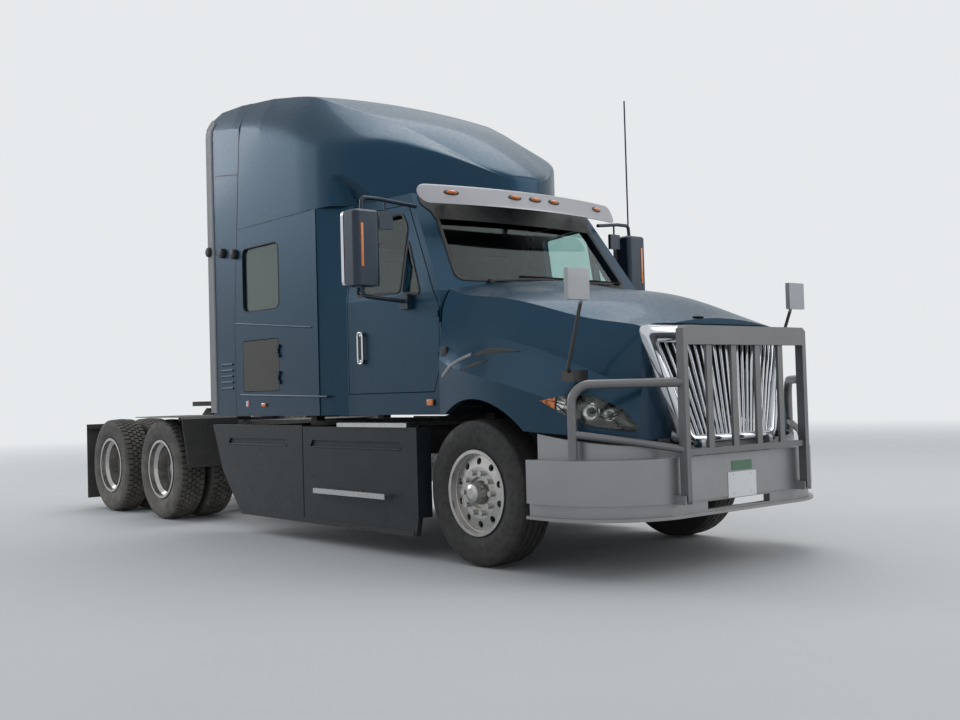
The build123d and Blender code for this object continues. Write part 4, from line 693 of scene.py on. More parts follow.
# Monotone cubic through the points: each slope is the harmonic mean of its neighbours' slopes, or level at a turn
def smoothThrough(x, xs, ys):
    xs, ys = np.asarray(xs, float), np.asarray(ys, float)
    step = np.diff(xs)
    slope = np.diff(ys) / step
    inner = np.where(slope[:-1] * slope[1:] > 0, 2 * slope[:-1] * slope[1:] / (slope[:-1] + slope[1:] + 1e-12), 0)
    ends = np.concatenate([slope[:1], inner, slope[-1:]])
    i = np.clip(np.searchsorted(xs, x) - 1, 0, len(step) - 1)
    t = (x - xs[i]) / step[i]
    return ((1 + 2 * t) * (1 - t) ** 2 * ys[i] + t * (1 - t) ** 2 * step[i] * ends[i]
            + t * t * (3 - 2 * t) * ys[i + 1] + t * t * (t - 1) * step[i] * ends[i + 1])


def roofPoints(x, columns):
    look = roofLook
    table = np.array(look["stations"])
    values = [np.where(x < look["ruledTo"], np.interp(x, table[:, 0], table[:, k]),
                       smoothThrough(x, table[2:, 0], table[2:, k])) for k in range(1, 6)]
    sideZ, shoulderY, shoulderZ, top, bulge = [value[:, None] for value in values]
    side, sideEnd, shoulderEnd = look["side"], look["sideShare"], look["shoulderShare"]
    u = np.linspace(0, 1, columns)[None, :]
    up, over = np.clip(u / sideEnd, 0, 1), np.clip((u - sideEnd) / (shoulderEnd - sideEnd), 0, 1)
    crown = np.clip((u - shoulderEnd) / (1 - shoulderEnd), 0, 1)
    length = np.hypot(shoulderY - side, shoulderZ - sideZ)
    controlY = (side + shoulderY) / 2 + 2 * bulge * (shoulderZ - sideZ) / length
    controlZ = (sideZ + shoulderZ) / 2 + 2 * bulge * (side - shoulderY) / length
    curveY, curveZ = [(1 - over) ** 2 * start + 2 * over * (1 - over) * control + over ** 2 * end
                      for start, control, end in ((side, controlY, shoulderY), (sideZ, controlZ, shoulderZ))]
    y = np.where(u < sideEnd, side, np.where(u < shoulderEnd, curveY, shoulderY * (1 - crown)))
    z = np.where(u < sideEnd, look["sideBase"] + (sideZ - look["sideBase"]) * up,
                 np.where(u < shoulderEnd, curveZ, top - (top - shoulderZ) * (1 - crown) ** 2))
    plan = smoothThrough(x, *zip(*look["plan"]))[:, None]
    low, high = look["softness"]
    soft = low + (high - low) * smoothStep(x, *look["softFrom"])[:, None]
    y = np.minimum(y, plan) - soft * np.log1p(np.exp(-np.abs(y - plan) / soft)) * np.clip(y / plan, 0, 1) ** 2
    recessY, recessZ, lean = look["recessSide"]
    press = np.maximum(0, y - recessY - lean * np.maximum(z - recessZ, 0))
    y = y - press * (1 - smoothStep(z, *look["recessTop"])) * smoothStep(x, *look["recessRear"])[:, None]
    base = look["base"] + (look["visorBase"] - look["base"]) * smoothStep(x, *look["visorX"])[:, None]
    return np.maximum(y, 0), np.maximum(z, base)


def makeRoof():
    look = roofLook
    rows = look["rows"]
    x = look["rear"] + (look["front"] - look["rear"]) * np.linspace(0, 1, rows) ** look["rowCrowding"]
    y, z = roofPoints(x, look["columns"])
    right = placed(x[:, None], -y, z)
    whole = np.concatenate([right, (right * (1, -1, 1))[:, ::-1][:, 1:]], 1)
    count = whole.shape[1]
    faces = gridFaces(rows, count, wrapColumns=True).tolist()
    faces += [list(range(count)), [(rows - 1) * count + k for k in range(count)][::-1]]
    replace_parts(makePiece("roofSkin", [(whole, faces)], "tealPaint", sharpAngle=50), "roof_fairing")


makeRoof()


# Sun visor: a blade carried along an arc, lying back as it rises; its height falls as a quarter circle at each end.
# Its lamps are oval domes in dark surrounds, and the side markers are rounded blocks
visorLook = {
    # The blade's lower and upper edge: z, front at its ends, bow in its middle and half width
    "low": (2.628, -0.649, 0.162, 1.062), "high": (2.785, -0.715, 0.150, 1.040),
    "thick": 0.022, "endRadius": 0.075, "roundness": 0.35, "around": 28,
    "brackets": ((-0.618, -0.700), (-0.548, 0.0), (-0.618, 0.700)), "bracketX": (-0.190, -0.020),
    "bracketY": (-0.020, 0.020), "bracketZ": (2.700, 2.730), "bracketRadius": 0.004,
    "lampY": (0, 0.211, -0.211, 0.784, -0.784), "lampZ": 2.722,
    # Half width, half height and how proud a dome stands
    "lamp": (0.047, 0.015, 0.022), "surround": (0.066, 0.025, 0.006),
    # x from and to, the side's y, z from and to
    "markers": (((-2.840, -2.770), 1.200, (1.130, 1.165)), ((-0.570, -0.500), 1.096, (1.115, 1.165))),
    "markerProud": (-0.004, 0.020), "markerRadius": 0.012}


def visorFace(y, z):
    (lowZ, *low), (highZ, *high) = visorLook["low"], visorLook["high"]
    share = (z - lowZ) / (highZ - lowZ)
    front, bow, half = [a + (b - a) * share for a, b in zip(low, high)]
    radius = (half ** 2 + bow ** 2) / (2 * bow)
    return front + bow - radius + np.sqrt(radius ** 2 - y ** 2)


def makeVisor():
    look = visorLook
    lowZ, highZ = look["low"][0], look["high"][0]
    middleZ, halfZ, half = (lowZ + highZ) / 2, (highZ - lowZ) / 2, (look["low"][3] + look["high"][3]) / 2
    y = half * np.sin(np.linspace(-math.pi / 2, math.pi / 2, 111))[:, None]
    inset = np.clip((half - np.abs(y)) / look["endRadius"], 0, 1)
    swell = np.sqrt(np.clip(1 - (1 - inset) ** 2, 0, 1))
    turn = fullTurn(look["around"])
    upward, inward = [np.sign(wave) * np.abs(wave) ** look["roundness"] for wave in (np.cos(turn), np.sin(turn))]
    z = middleZ + halfZ * swell * upward
    points = placed(visorFace(y, z) - look["thick"] / 2 * (1 - swell * inward), y, z)
    blade = makePiece("visorBlade", [ringShell(points)], "visorMetal", sharpAngle=50)
    brackets = [placedBlock([x + reach for reach in look["bracketX"]], [y + reach for reach in look["bracketY"]],
                            look["bracketZ"], look["bracketRadius"]) for x, y in look["brackets"]]
    makePiece("visorBrackets", brackets, "bumperMetal")
    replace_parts(blade, "sun_visor")
    lamps, surrounds, lampZ = [], [], look["lampZ"]
    for lampY in look["lampY"]:
        slope = (visorFace(lampY + 0.01, lampZ) - visorFace(lampY - 0.01, lampZ)) / 0.02
        along = np.array((slope, 1, 0)) / math.hypot(slope, 1)
        rise = np.array((visorFace(lampY, highZ) - visorFace(lampY, lowZ), 0, highZ - lowZ))
        rise /= np.linalg.norm(rise)
        out = np.cross(along, rise)
        for shells, (wide, tall, proud) in ((lamps, look["lamp"]), (surrounds, look["surround"])):
            points, faces = domeShell((0, 0, 0), (1, 0, 0), 1.0, proud, 40)
            points = points[..., :1] * out + points[..., 1:2] * wide * along + points[..., 2:] * tall * rise
            shells.append((placed(visorFace(lampY, lampZ), lampY, lampZ) + points, faces))
    makePiece("visorSurrounds", surrounds, "sealRubber")
    for sign in sides.values():
        lamps += [placedBlock(x, [sign * (y + proud) for proud in look["markerProud"]], z, look["markerRadius"])
                  for x, y, z in look["markers"]]
    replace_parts(makePiece("markerLamps", lamps, "amberLens", sharpAngle=60), "lamps")


makeVisor()


# Sleeper sides: two body-coloured mouldings, over and under the luggage door, a white and red reflector, three round
# buffers that keep a trailer off the extenders, and a rubber strip down the extenders' rear edges
sleeperLook = {"half": 1.200, "mouldings": (((-3.320, 1.896), (-2.000, 1.781)), ((-3.240, 1.240), (-1.780, 1.203))),
               "mouldingSection": [(-0.002, -0.010), (0.006, -0.004), (0.007, 0), (0.006, 0.004), (-0.002, 0.010)],
               "reflectors": (((-3.140, -3.110), "plateWhite"), ((-3.110, -3.080), "redLens")),
               "reflectorZ": (1.135, 1.185), "reflectorProud": 0.004, "reflectorRadius": 0.002,
               "buffers": ((-3.793, 2.606), (-3.531, 2.567), (-3.300, 2.532)), "bufferRadius": 0.046,
               "bufferShares": (0.02, 0.75, 0.95, 1.0, 1.0, 0.8),
               "bufferProud": (0.034, 0.034, 0.028, 0.018, 0.004, -0.004),
               "edge": [(-3.752, 1.080), (-3.748, 3.700), (-3.735, 3.780), (-3.700, 3.830)],
               "edgeSection": [(-0.003, -0.050), (0.005, -0.048), (0.010, -0.036), (0.011, -0.024), (0.007, -0.012),
                               (0.005, 0.000), (0.005, 0.080), (0.001, 0.084), (-0.003, 0.080)]}


def makeSleeperTrim():
    look = sleeperLook
    tree = skinTree(["side_extenders"])
    for side, sign in sides.items():
        y = sign * look["half"]
        ribs = []
        for start, end in look["mouldings"]:
            x, z = np.linspace(start, end, 30).T
            ribs.append(carried(look["mouldingSection"], placed(x, y, z), (0, sign, 0), closed=False))
        makePiece(f"sleeperMoulding_{side}", ribs, "tealPaint")
        for index, (x, finish) in enumerate(look["reflectors"]):
            block = placedBlock(x, (y, y + sign * look["reflectorProud"]), look["reflectorZ"],
                                look["reflectorRadius"])
            makePiece(f"sideReflector{index}_{side}", [block], finish)
        radii = look["bufferRadius"] * np.array(look["bufferShares"])
        shells = [turnedShell(placed(x, y, z), (0, sign, 0), (1, 0, 0), (0, 0, 1), radii, look["bufferProud"])
                  for x, z in look["buffers"]]
        makePiece(f"extenderBuffers_{side}", shells, "sealRubber")
        path, normals = onSide(tree, evenSteps(look["edge"], 0.04), sign)
        section = [(out, sign * across) for out, across in look["edgeSection"]][::sign]
        makePiece(f"extenderStrip_{side}", [carried(section, path, normals, closed=False)], "stripRubber")


makeSleeperTrim()


# Panel seams: thin dark lines on the skin, as (x, z) points seen from the side, and louvres in the extender
seamLook = {"lines": [[(-3.227, 2.757), (-1.942, 2.762)], [(-3.638, 3.308), (-3.205, 3.252)],
                      [(-3.333, 1.070), (-3.333, 1.900), (-3.258, 2.750), (-3.160, 3.750)]],
            "width": 0.007, "proud": 0.0012, "edge": 0.0008, "louvreX": (-3.600, -3.380), "louvreZ": (1.300, 1.520),
            "louvres": 5, "louvreSection": [(-0.002, -0.016), (0.010, -0.012), (0.011, -0.008), (-0.002, 0.014)]}


def makeSeams():
    look = seamLook
    tree = skinTree(["sleeper_shell", "side_extenders", "cab_shell"])
    section = flatSection(look["proud"], look["width"], look["edge"])
    for side, sign in sides.items():
        for index, line in enumerate(look["lines"]):
            path, normals = onSide(tree, evenSteps(line, 0.03), sign)
            makePiece(f"seam{index}_{side}", [carried(section, path, normals, closed=False)], "sealRubber")
        ribs = []
        for z in np.linspace(*look["louvreZ"], look["louvres"]):
            path, normals = onSide(tree, evenSteps([(x, z) for x in look["louvreX"]], 0.02), sign)
            ribs.append(carried(look["louvreSection"], path, normals, closed=False))
        makePiece(f"extenderLouvres_{side}", ribs, "tealPaint")


makeSeams()


# A dark band over the windshield's top edge and the header above it, up to the roof: painted shadow of the sun visor,
# partly a tinted strip on the glass. Half widths at z
tintAndShadowBandLook = {"rows": [(2.540, 0.838), (2.600, 0.850), (2.660, 0.905), (2.700, 0.905), (2.745, 0.895)], "lift": 0.007,
            "columns": 41}


def makeTintAndShadowBand():
    look = tintAndShadowBandLook
    z, half = np.array(look["rows"]).T
    y = np.linspace(-1, 1, look["columns"])[:, None] * half
    outer = placed(windshieldX(y, z) + look["lift"], y, z)
    # The dark band is painted shadow under the sun visor over the glass and header, partly a tinted strip on the
    # glass
    makePiece("windshieldTintAndShadowBand", [(outer, gridFaces(*y.shape))], "sealRubber")


makeTintAndShadowBand()


# Number plates: a white and a smaller green one on the bumper's middle, blank, with the white one's screws
plateLook = {"plates": (("whitePlate", "plateWhite", 0.150, (0.470, 0.636)),
                        ("greenPlate", "plateGreen", 0.106, (0.646, 0.708))), "x": (1.3855, 1.3880), "round": 0.0012,
             "screwY": (-0.089, 0.089), "screwZ": (0.500, 0.621), "screw": (0.0065, 0.004)}


def makePlates():
    look = plateLook
    for name, finish, half, z in look["plates"]:
        makePiece(name, [placedBlock(look["x"], (-half, half), z, look["round"])], finish)
    screws = [domeShell(placed(look["x"][1], y, z), (1, 0, 0), *look["screw"])
              for y in look["screwY"] for z in look["screwZ"]]
    makePiece("plateScrews", screws, "chrome")


makePlates()


# Grille: a chrome surround between two trapezoids with round corners, its face a rounded bead across the band, on a
# face bowed across and leaning back, and slats fanning out from the foot
grilleLook = {"face": 1.232, "bow": 0.095, "half": 0.771, "lean": 0.028, "zMiddle": 1.220, "zHalf": 0.380,
              "back": 1.2005, "turnIn": 0.040, "bead": 0.016,
              "outer": [(-0.770, 1.600), (0.770, 1.600), (0.480, 0.840), (-0.480, 0.840)], "outerRadius": 0.075,
              "inner": [(-0.640, 1.490), (0.640, 1.490), (0.402, 0.890), (-0.402, 0.890)], "innerRadius": 0.030,
              "across": (0.0, 0.0, 0.04, 0.12, 0.25, 0.42, 0.60, 0.78, 0.90, 0.97, 1.0, 1.0),
              "slats": 21, "slatBehind": 0.014,
              "slatSection": [(-0.011, -0.0130), (-0.006, -0.0130), (0, -0.0078), (0.002, 0), (0, 0.0078),
                              (-0.006, 0.0130), (-0.011, 0.0130)]}


def grilleFace(y, z):
    look = grilleLook
    rise = (z - look["zMiddle"]) / look["zHalf"]
    return look["face"] + look["bow"] * (1 - (y / look["half"]) ** 2) - look["lean"] * rise


def makeGrille():
    look = grilleLook
    share = np.linspace(0, 1, 7)[:-1, None]
    rings = []
    for key in ("outer", "inner"):
        ring = roundedOutline(look[key], look[key + "Radius"], 9)
        rings.append((ring[:, None] + (np.roll(ring, -1, 0) - ring)[:, None] * share).reshape(-1, 2))
    v = np.array(look["across"])[:, None]
    y, z = np.moveaxis(rings[0] + (rings[1] - rings[0]) * v[..., None], -1, 0)
    x = grilleFace(y, z) + look["bead"] * (1 - np.abs(2 * v - 1) ** 3)
    x[0] = look["back"]
    x[-1] -= look["turnIn"]
    faces = gridFaces(*y.shape, wrapRows=True, wrapColumns=True)
    surround = makePiece("grilleSurround", [(placed(x, y, z), faces)], "chrome", "hood_body", 50)
    (_, topZ), (topHalf, _), (lowHalf, lowZ), _ = look["inner"]
    t = np.linspace(-0.02, 1.02, 9)
    z = lowZ + (topZ - lowZ) * t
    slats = []
    for place in (np.arange(look["slats"]) - (look["slats"] - 1) / 2) * 2 / look["slats"]:
        y = place * (lowHalf + (topHalf - lowHalf) * t)
        path = placed(grilleFace(y, z) - look["slatBehind"], y, z)
        slats.append(carried(look["slatSection"], path, (1, 0, 0), closed=False))
    makePiece("grilleSlats", slats, "chrome", "hood_body")
    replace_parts(surround, "grille")


makeGrille()


# Headlamps, on the plane the source cuts them with: u runs along the lens to the nose, v up, and depth inwards.
# Behind the lens a shell falls from its outline to a floor by (1 - t^2), t being the share of the way out. The amber
# one lies on the lens as a cover of its rear end
lampLook = {"origin": (0.950, 1.000, 1.050), "alongX": (0.853, -0.522, 0.0), "outX": (0.522, 0.853, 0.0),
            "outline": [(-0.307, 0.088), (-0.120, 0.122), (0.040, 0.112), (0.230, 0.020), (0.335, -0.100),
                        (0.300, -0.122), (0.060, -0.090), (-0.110, -0.025)],
            "lens": 0.036, "rim": (0.003, 0.009, 0.002),
            # u from and to, how much deeper the middle lies, the rings, the edge's depth under the skin, the finish
            "shells": {"Amber": (-1, -0.198, 0.0, 5, -0.003, "amberLens"),
                       "Reflector": (-0.198, -0.075, 0.050, 9, 0.036, "lampBowl"),
                       "Housing": (-0.075, 1, 0.080, 9, 0.036, "lampDark")},
            "rounds": [(0.020, 0.004, 0.060), (0.140, -0.016, 0.048)], "roundDepth": 0.012,
            # Shares of the radius, and how deep each ring lies
            "bowl": ((1.0, 1.0, 0.93, 0.90, 0.72, 0.52, 0.50), (0.030, 0.004, 0.000, 0.004, 0.016, 0.022, 0.030)),
            "eye": ((0.50, 0.46, 0.36, 0.22, 0.02), (0.028, 0.018, 0.009, 0.003, 0.000))}


def makeHeadlamps():
    look = lampLook
    tree = skinTree(["hood", "headlamps"])
    up = np.array((0, 0, 1.0))
    for side, sign in sides.items():
        flip = np.array((1, sign, 1))
        origin = placed(*np.array(look["origin"]) * flip)
        along, out = np.array(look["alongX"]) * flip, np.array(look["outX"]) * flip

        def onLens(u, v):
            return onSkin(tree, origin + u[:, None] * along + v[:, None] * up + 0.5 * out, -out)

        def shell(low, high, floor, rings, lens):
            edge = evenSteps(look["outline"], 0.006, True)
            edge = edge[(edge[:, 0] >= low) & (edge[:, 0] <= high)]
            order = np.argsort(np.arctan2(*(edge - edge.mean(0)).T[::-1]))
            edge = roundedLoop(edge[order][:: max(1, len(edge) // 26)], 0.012, 0.012)
            grow = np.linspace(0.985, 0.02, rings)
            u, v = (edge.mean(0) + (edge - edge.mean(0)) * grow[:, None, None]).reshape(-1, 2).T
            depth = (lens + floor * (1 - grow ** 2))[:, None, None]
            return ringShell(onLens(u, v)[0].reshape(rings, -1, 3) - depth * out)

        for name, (*measures, finish) in look["shells"].items():
            makePiece(f"lamp{name}_{side}", [shell(*measures)], finish, "hood_body")
        bowls, eyes = [], []
        for u, v, radius in look["rounds"]:
            middle = onLens(np.array([u]), np.array([v]))[0][0] - (look["lens"] + look["roundDepth"]) * out
            for shells, (shares, depths) in ((bowls, look["bowl"]), (eyes, look["eye"])):
                shells.append(turnedShell(middle, -out, along, up, radius * np.array(shares), depths, 40))
        makePiece(f"lampBowls_{side}", bowls, "lampBowl", "hood_body")
        makePiece(f"lampEyes_{side}", eyes, "lampGlass", "hood_body")
        path, normals = onLens(*roundedLoop(look["outline"], 0.014, 0.015).T)
        makePiece(f"lampRim_{side}", [carried(flatSection(*look["rim"]), path, normals)], "sealRubber", "hood_body")


makeHeadlamps()


# Hood details: two dark vents in a grey rail over the rear of each arch, a small dark jet on the brow and
# latches at the rear edge. A vent's outline, in x and z, is a leaf: half width = wide sin(pi t^skew) along its line
hoodLook = {"vents": [([(-0.030, 1.458), (0.080, 1.484), (0.210, 1.486), (0.360, 1.470)], 0.022, 0.7),
                      ([(-0.090, 1.360), (0.030, 1.396), (0.150, 1.420)], 0.017, 1.0)], "ventProud": 0.005,
            "ventSunk": 0.001, "rail": [(-0.340, 1.325), (-0.250, 1.382), (-0.150, 1.432), (-0.040, 1.470)],
            "railSection": (0.006, 0.032, 0.005), "jet": (1.225, -0.200), "jetDome": (0.026, 0.010), "jetWide": 2.0,
            "latch": (-0.330, 1.500), "latchHalf": (0.030, 0.008, 0.040), "latchRadius": 0.007}


def makeHoodTrim():
    look = hoodLook
    tree = skinTree(["hood"])
    across = np.linspace(-1, 1, 7)
    for side, sign in sides.items():
        leaves = []
        for line, wide, skew in look["vents"]:
            middle = evenSteps(line, 0.012)
            half = wide * np.sin(math.pi * np.linspace(0, 1, len(middle)) ** skew)
            rows = np.stack([middle[:, :1] + 0 * across, middle[:, 1:] + half[:, None] * across], -1)
            place, normal = onSide(tree, rows.reshape(-1, 2), sign)
            rise = look["ventProud"] * (1 - np.tile(across, len(middle)) ** 4) - look["ventSunk"]
            leaves.append((place + normal * rise[:, None], gridFaces(len(middle), len(across))))
        makePiece(f"hoodVents_{side}", leaves, "sealRubber", "hood_body")
        path, normals = onSide(tree, evenSteps(look["rail"], 0.015), sign)
        rail = carried(flatSection(*look["railSection"]), path, normals, closed=False)
        makePiece(f"hoodRail_{side}", [rail], "stripRubber", "hood_body")
        place, half = onSide(tree, [look["latch"]], sign)[0][0], np.array(look["latchHalf"])
        makePiece(f"hoodLatch_{side}", [roundedBlock(place - half, place + half, look["latchRadius"])], "sealRubber",
                  "hood_body")
    place = onSkin(tree, [placed(*look["jet"], 2.4)], (0, 0, -1))[0][0]
    points, faces = domeShell((0, 0, 0), (0, 0, 1), *look["jetDome"], 24)
    makePiece("hoodJet", [(points * (1.0, look["jetWide"], 1.0) + place, faces)], "sealRubber", "hood_body")


makeHoodTrim()
print("nose dressed")


# Steps and skirts: ribs across the treads, lips along the long grooves and a dark foot along the skirts' lower edge
stepLook = {"treads": (((-1.600, -0.720), (1.080, 1.206), 0.992), ((-1.890, -0.940), (1.205, 1.265), 0.465)),
            "pitch": 0.026, "ribSection": [(-0.001, -0.004), (0.003, -0.0025), (0.003, 0.0025), (-0.001, 0.004)],
            # Name, finish, section, the lines' ends in x, their points and z
            "skirtY": 1.200, "strips": (
                ("skirtLips", "skirtPaint", flatSection(0.005, 0.014, 0.003),
                 ((-3.470, -2.450), (-2.030, -0.790)), 20, 0.794),
                ("skirtFoot", "sealRubber", [(-0.002, -0.030), (0.005, -0.028), (0.005, 0.012), (-0.002, 0.014)],
                 ((-3.270, -0.640),), 40, 0.176))}


def makeSteps():
    look = stepLook
    for side, sign in sides.items():
        ribs = [carried(look["ribSection"], placed(x, sign * np.linspace(*y, 3), z), (0, 0, 1), closed=False)
                for ends, y, z in look["treads"] for x in np.arange(*ends, look["pitch"])]
        makePiece(f"stepRibs_{side}", ribs, "tankMetal")
        for name, finish, section, lines, count, z in look["strips"]:
            strips = [carried(section, placed(np.linspace(*ends, count), sign * look["skirtY"], z), (0, sign, 0),
                              closed=False) for ends in lines]
            makePiece(f"{name}_{side}", strips, finish)


makeSteps()


# Rear end: a row of round red lamps on each side of the lamp bar, and the three air and electric connections on the
# sleeper's back wall
rearLook = {"barX": -6.940, "barZ": 0.925, "lampY": (0.520, 0.640, 0.760), "lampRadius": 0.052,
            "lampShares": (0.01, 0.5, 0.85, 0.97, 1.0, 1.0), "lampProud": (0.016, 0.015, 0.011, 0.006, 0.0, -0.01),
            "couplingY": (-0.28, 0.0, 0.28), "couplingX": (-3.485, -3.425), "couplingHalf": 0.022,
            "couplingZ": (2.020, 2.080), "couplingRadius": 0.010}


def makeRear():
    look = rearLook
    radii = look["lampRadius"] * np.array(look["lampShares"])
    for side, sign in sides.items():
        lamps = [turnedShell(placed(look["barX"], sign * y, look["barZ"]), (-1, 0, 0), (0, 1, 0), (0, 0, 1), radii,
                             look["lampProud"]) for y in look["lampY"]]
        makePiece(f"tailLamps_{side}", lamps, "redLens")
    glands = [placedBlock(look["couplingX"], (y - look["couplingHalf"], y + look["couplingHalf"]), look["couplingZ"],
                          look["couplingRadius"]) for y in look["couplingY"]]
    makePiece("airCouplings", glands, "castMetal")


makeRear()
print("steps and rear dressed")


# A crowned cushion with sewn channels pressed in along or across. Each face stands off the middle by its edge's fall,
# times 1 - c + c (1 - u^2)(1 - v^2) with c the crown, less the channels' depth
def cushionShell(low, high, crown, channels, across, depth=0.012, channelWidth=0.035, count=41):
    low, high = np.array(low, float), np.array(high, float)
    centre, half = (low + high) / 2, (high - low) / 2
    line = np.linspace(-1, 1, count)
    u, v = np.meshgrid(line, line, indexing="ij")
    edge = np.clip(1 - np.abs(u) ** 5, 0, 1) ** 0.4 * np.clip(1 - np.abs(v) ** 5, 0, 1) ** 0.4
    seam = sum(np.exp(-(((u if across else v) - place) / channelWidth) ** 2) for place in channels)
    rise = edge * (1 - crown + crown * (1 - u ** 2) * (1 - v ** 2)) - seam * edge * depth / half[2]
    faces = gridFaces(count, count)
    points = [(centre + half * np.stack([u, v, sign * rise], -1)).reshape(-1, 3) for sign in (-1, 1)]
    return np.concatenate(points), np.concatenate([faces[:, ::-1], faces + count ** 2])


# Seats and bunk. A back is a cushion laid out flat and then turned up about its foot to the end of its lean
seatLook = {"y": (("left", 0.5), ("right", -0.5)), "cushionX": (-1.700, -1.180), "cushionHalf": 0.262,
            "cushionZ": (1.602, 1.760), "cushionChannels": (-0.55, 0.55), "backFoot": (-1.585, 1.700),
            "back": (0.740, 0.252, 0.055), "backLean": -0.130, "backChannels": (-0.3, 0.25, 0.7),
            "baseX": (-1.640, -1.240), "baseHalf": 0.180, "baseZ": (1.3005, 1.600), "baseRadius": 0.03,
            "bunkX": (-3.365, -2.452), "bunkHalf": 1.145, "bunkZ": (1.735, 1.862), "bunkChannels": (-0.5, 0, 0.5),
            "cushionCrown": 0.25, "backCrown": 0.3, "bunkCrown": 0.15}


def makeSeats():
    look = seatLook

    def corners(key, y=0.0):
        half = look[key + "Half"]
        return [placed(*corner) for corner in zip(look[key + "X"], (y - half, y + half), look[key + "Z"])]

    for name, y in look["y"]:
        shell = cushionShell(*corners("cushion", y), look["cushionCrown"], look["cushionChannels"], False)
        cushion = makePiece(f"seatCushion_{name}", [shell], "seatCloth")
        long, half, thick = look["back"]
        flat, faces = cushionShell((0, -half, -thick), (long, half, thick), look["backCrown"], look["backChannels"],
                                   True)
        x, across, out = flat.T
        lean = math.atan2(long, look["backLean"])
        footX, footZ = look["backFoot"]
        points = placed(footX + x * math.cos(lean) + out * math.sin(lean), y + across,
                        footZ + x * math.sin(lean) - out * math.cos(lean))
        back = makePiece(f"seatBack_{name}", [(points, faces)], "seatCloth")
        makePiece(f"seatBase_{name}", [roundedBlock(*corners("base", y), look["baseRadius"])], "cabinPlastic")
        if name == "left":
            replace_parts(cushion, "seats")
    shell = cushionShell(*corners("bunk"), look["bunkCrown"], look["bunkChannels"], False)
    mattress = makePiece("bunkPad", [shell], "seatCloth")


makeSeats()
print("seats made")


# Floor, sky and lamps. Rays that are seen, straight or in gloss and glass, meet the pale backdrop; the floor fades
# into it with distance, so that no horizon shows
stageLook = {"backdrop": {"Color": (0.80, 0.82, 0.835, 1), "Strength": 1.0}, "fade": (9.0, 30.0),
             "sky": {"Color": (0.84, 0.91, 1.00, 1), "Strength": 0.62}, "rings": (0.001, 8, 24, 90), "around": 96,
             "floorZ": -0.001, "floor": ((0.60, 0.60, 0.59), (0.56, 0.56, 0.555), 0.8, (0.7, 0.8), (60, 0.05, 0.001)),
             # Place, target, size, power and colour
             "lamps": {"overhead": ((-1.0, 4.0, 14.0), (0, 0, 1.5), 12.0, 700, (1.0, 0.99, 0.97)),
                       "frontLeft": ((14.0, 12.0, 9.0), (2.0, 0, 1.5), 12.0, 600, (1.0, 0.98, 0.94)),
                       "rearRight": ((-21.0, -8.0, 10.0), (-1.0, -1.0, 2.0), 9.0, 980, (0.97, 0.98, 1.0))}}


def seenRays(tree):
    path = addNode(tree, "ShaderNodeLightPath")
    either = path.outputs["Is Camera Ray"]
    for kind in ("Is Glossy Ray", "Is Transmission Ray"):
        either = addNode(tree, "ShaderNodeMath", {0: either, 1: path.outputs[kind]}, operation="MAXIMUM").outputs[0]
    return either


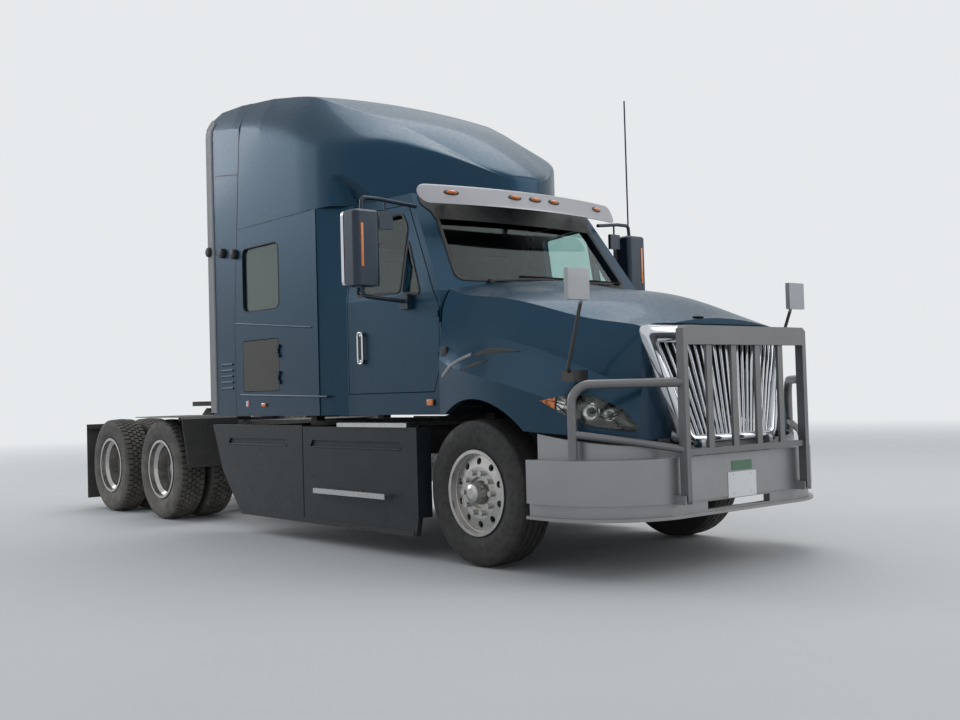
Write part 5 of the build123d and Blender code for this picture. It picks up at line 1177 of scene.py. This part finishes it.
def makeFloor():
    look = stageLook
    material = makeFinish("studioFloor", *look["floor"])
    tree = material.node_tree
    place = addNode(tree, "ShaderNodeTexCoord").outputs["Object"]
    reach = addNode(tree, "ShaderNodeVectorMath", {0: place}, operation="LENGTH").outputs["Value"]
    start, end = look["fade"]
    far = addNode(tree, "ShaderNodeMapRange", {"Value": reach, "From Min": start, "From Max": end},
                  interpolation_type="SMOOTHSTEP").outputs["Result"]
    share = addNode(tree, "ShaderNodeMath", {0: far, 1: seenRays(tree)}, operation="MULTIPLY").outputs[0]
    glow = addNode(tree, "ShaderNodeEmission", look["backdrop"]).outputs[0]
    mix = addNode(tree, "ShaderNodeMixShader", {"Fac": share, 1: tree.nodes["Principled BSDF"].outputs[0], 2: glow})
    tree.links.new(mix.outputs[0], tree.nodes["Material Output"].inputs["Surface"])
    angle, rings = fullTurn(look["around"]), np.array(look["rings"])[:, None]
    points = np.stack([rings * np.cos(angle), rings * np.sin(angle), look["floorZ"] + 0 * rings * angle], -1)
    mesh = bpy.data.meshes.new("studioFloor")
    faces = gridFaces(*points.shape[:2], wrapColumns=True)[:, ::-1]
    mesh.from_pydata(points.reshape(-1, 3).tolist(), [], faces.tolist())
    mesh.materials.append(material)
    floor = bpy.data.objects.new("studioFloor", mesh)
    bpy.context.scene.collection.objects.link(floor)


def makeSky():
    world = bpy.data.worlds.new("studioSky")
    world.use_nodes = True
    tree = world.node_tree
    tree.nodes.clear()
    light, seen = [addNode(tree, "ShaderNodeBackground", stageLook[key]).outputs[0] for key in ("sky", "backdrop")]
    mix = addNode(tree, "ShaderNodeMixShader", {"Fac": seenRays(tree), 1: light, 2: seen}).outputs[0]
    addNode(tree, "ShaderNodeOutputWorld", {"Surface": mix})
    bpy.context.scene.world = world


def makeLamps():
    for name, (place, target, size, power, colour) in stageLook["lamps"].items():
        data = bpy.data.lights.new(name, "AREA")
        data.shape, data.size, data.energy, data.color = "DISK", size, power, colour
        lamp = bpy.data.objects.new(name, data)
        lamp.location = place
        lamp.rotation_euler = (Vector(target) - Vector(place)).to_track_quat("-Z", "Y").to_euler()
        bpy.context.scene.collection.objects.link(lamp)


# The camera stands where the photograph was taken, off the front right corner at head height
cameraLook = {"place": (5.956, -6.053, 1.201), "forward": (-0.7664, 0.6417, 0.0292), "up": (0.0406, 0.0030, 0.9992),
              "lens": 41.88, "sensor": 36.0, "reach": 300}


def makeCamera():
    look = cameraLook
    forward = Vector(look["forward"]).normalized()
    right = forward.cross(Vector(look["up"])).normalized()
    data = bpy.data.cameras.new("photoCamera")
    data.lens, data.sensor_width, data.clip_end = look["lens"], look["sensor"], look["reach"]
    camera = bpy.data.objects.new("photoCamera", data)
    turn = Matrix((right, right.cross(forward), -forward)).transposed().to_4x4()
    camera.matrix_world = Matrix.Translation(placed(*look["place"])) @ turn
    bpy.context.scene.collection.objects.link(camera)
    bpy.context.scene.camera = camera


makeFloor()
makeSky()
makeLamps()
makeCamera()
bpy.context.scene.view_settings.view_transform = "Standard"
print("stage, lamps and camera set")
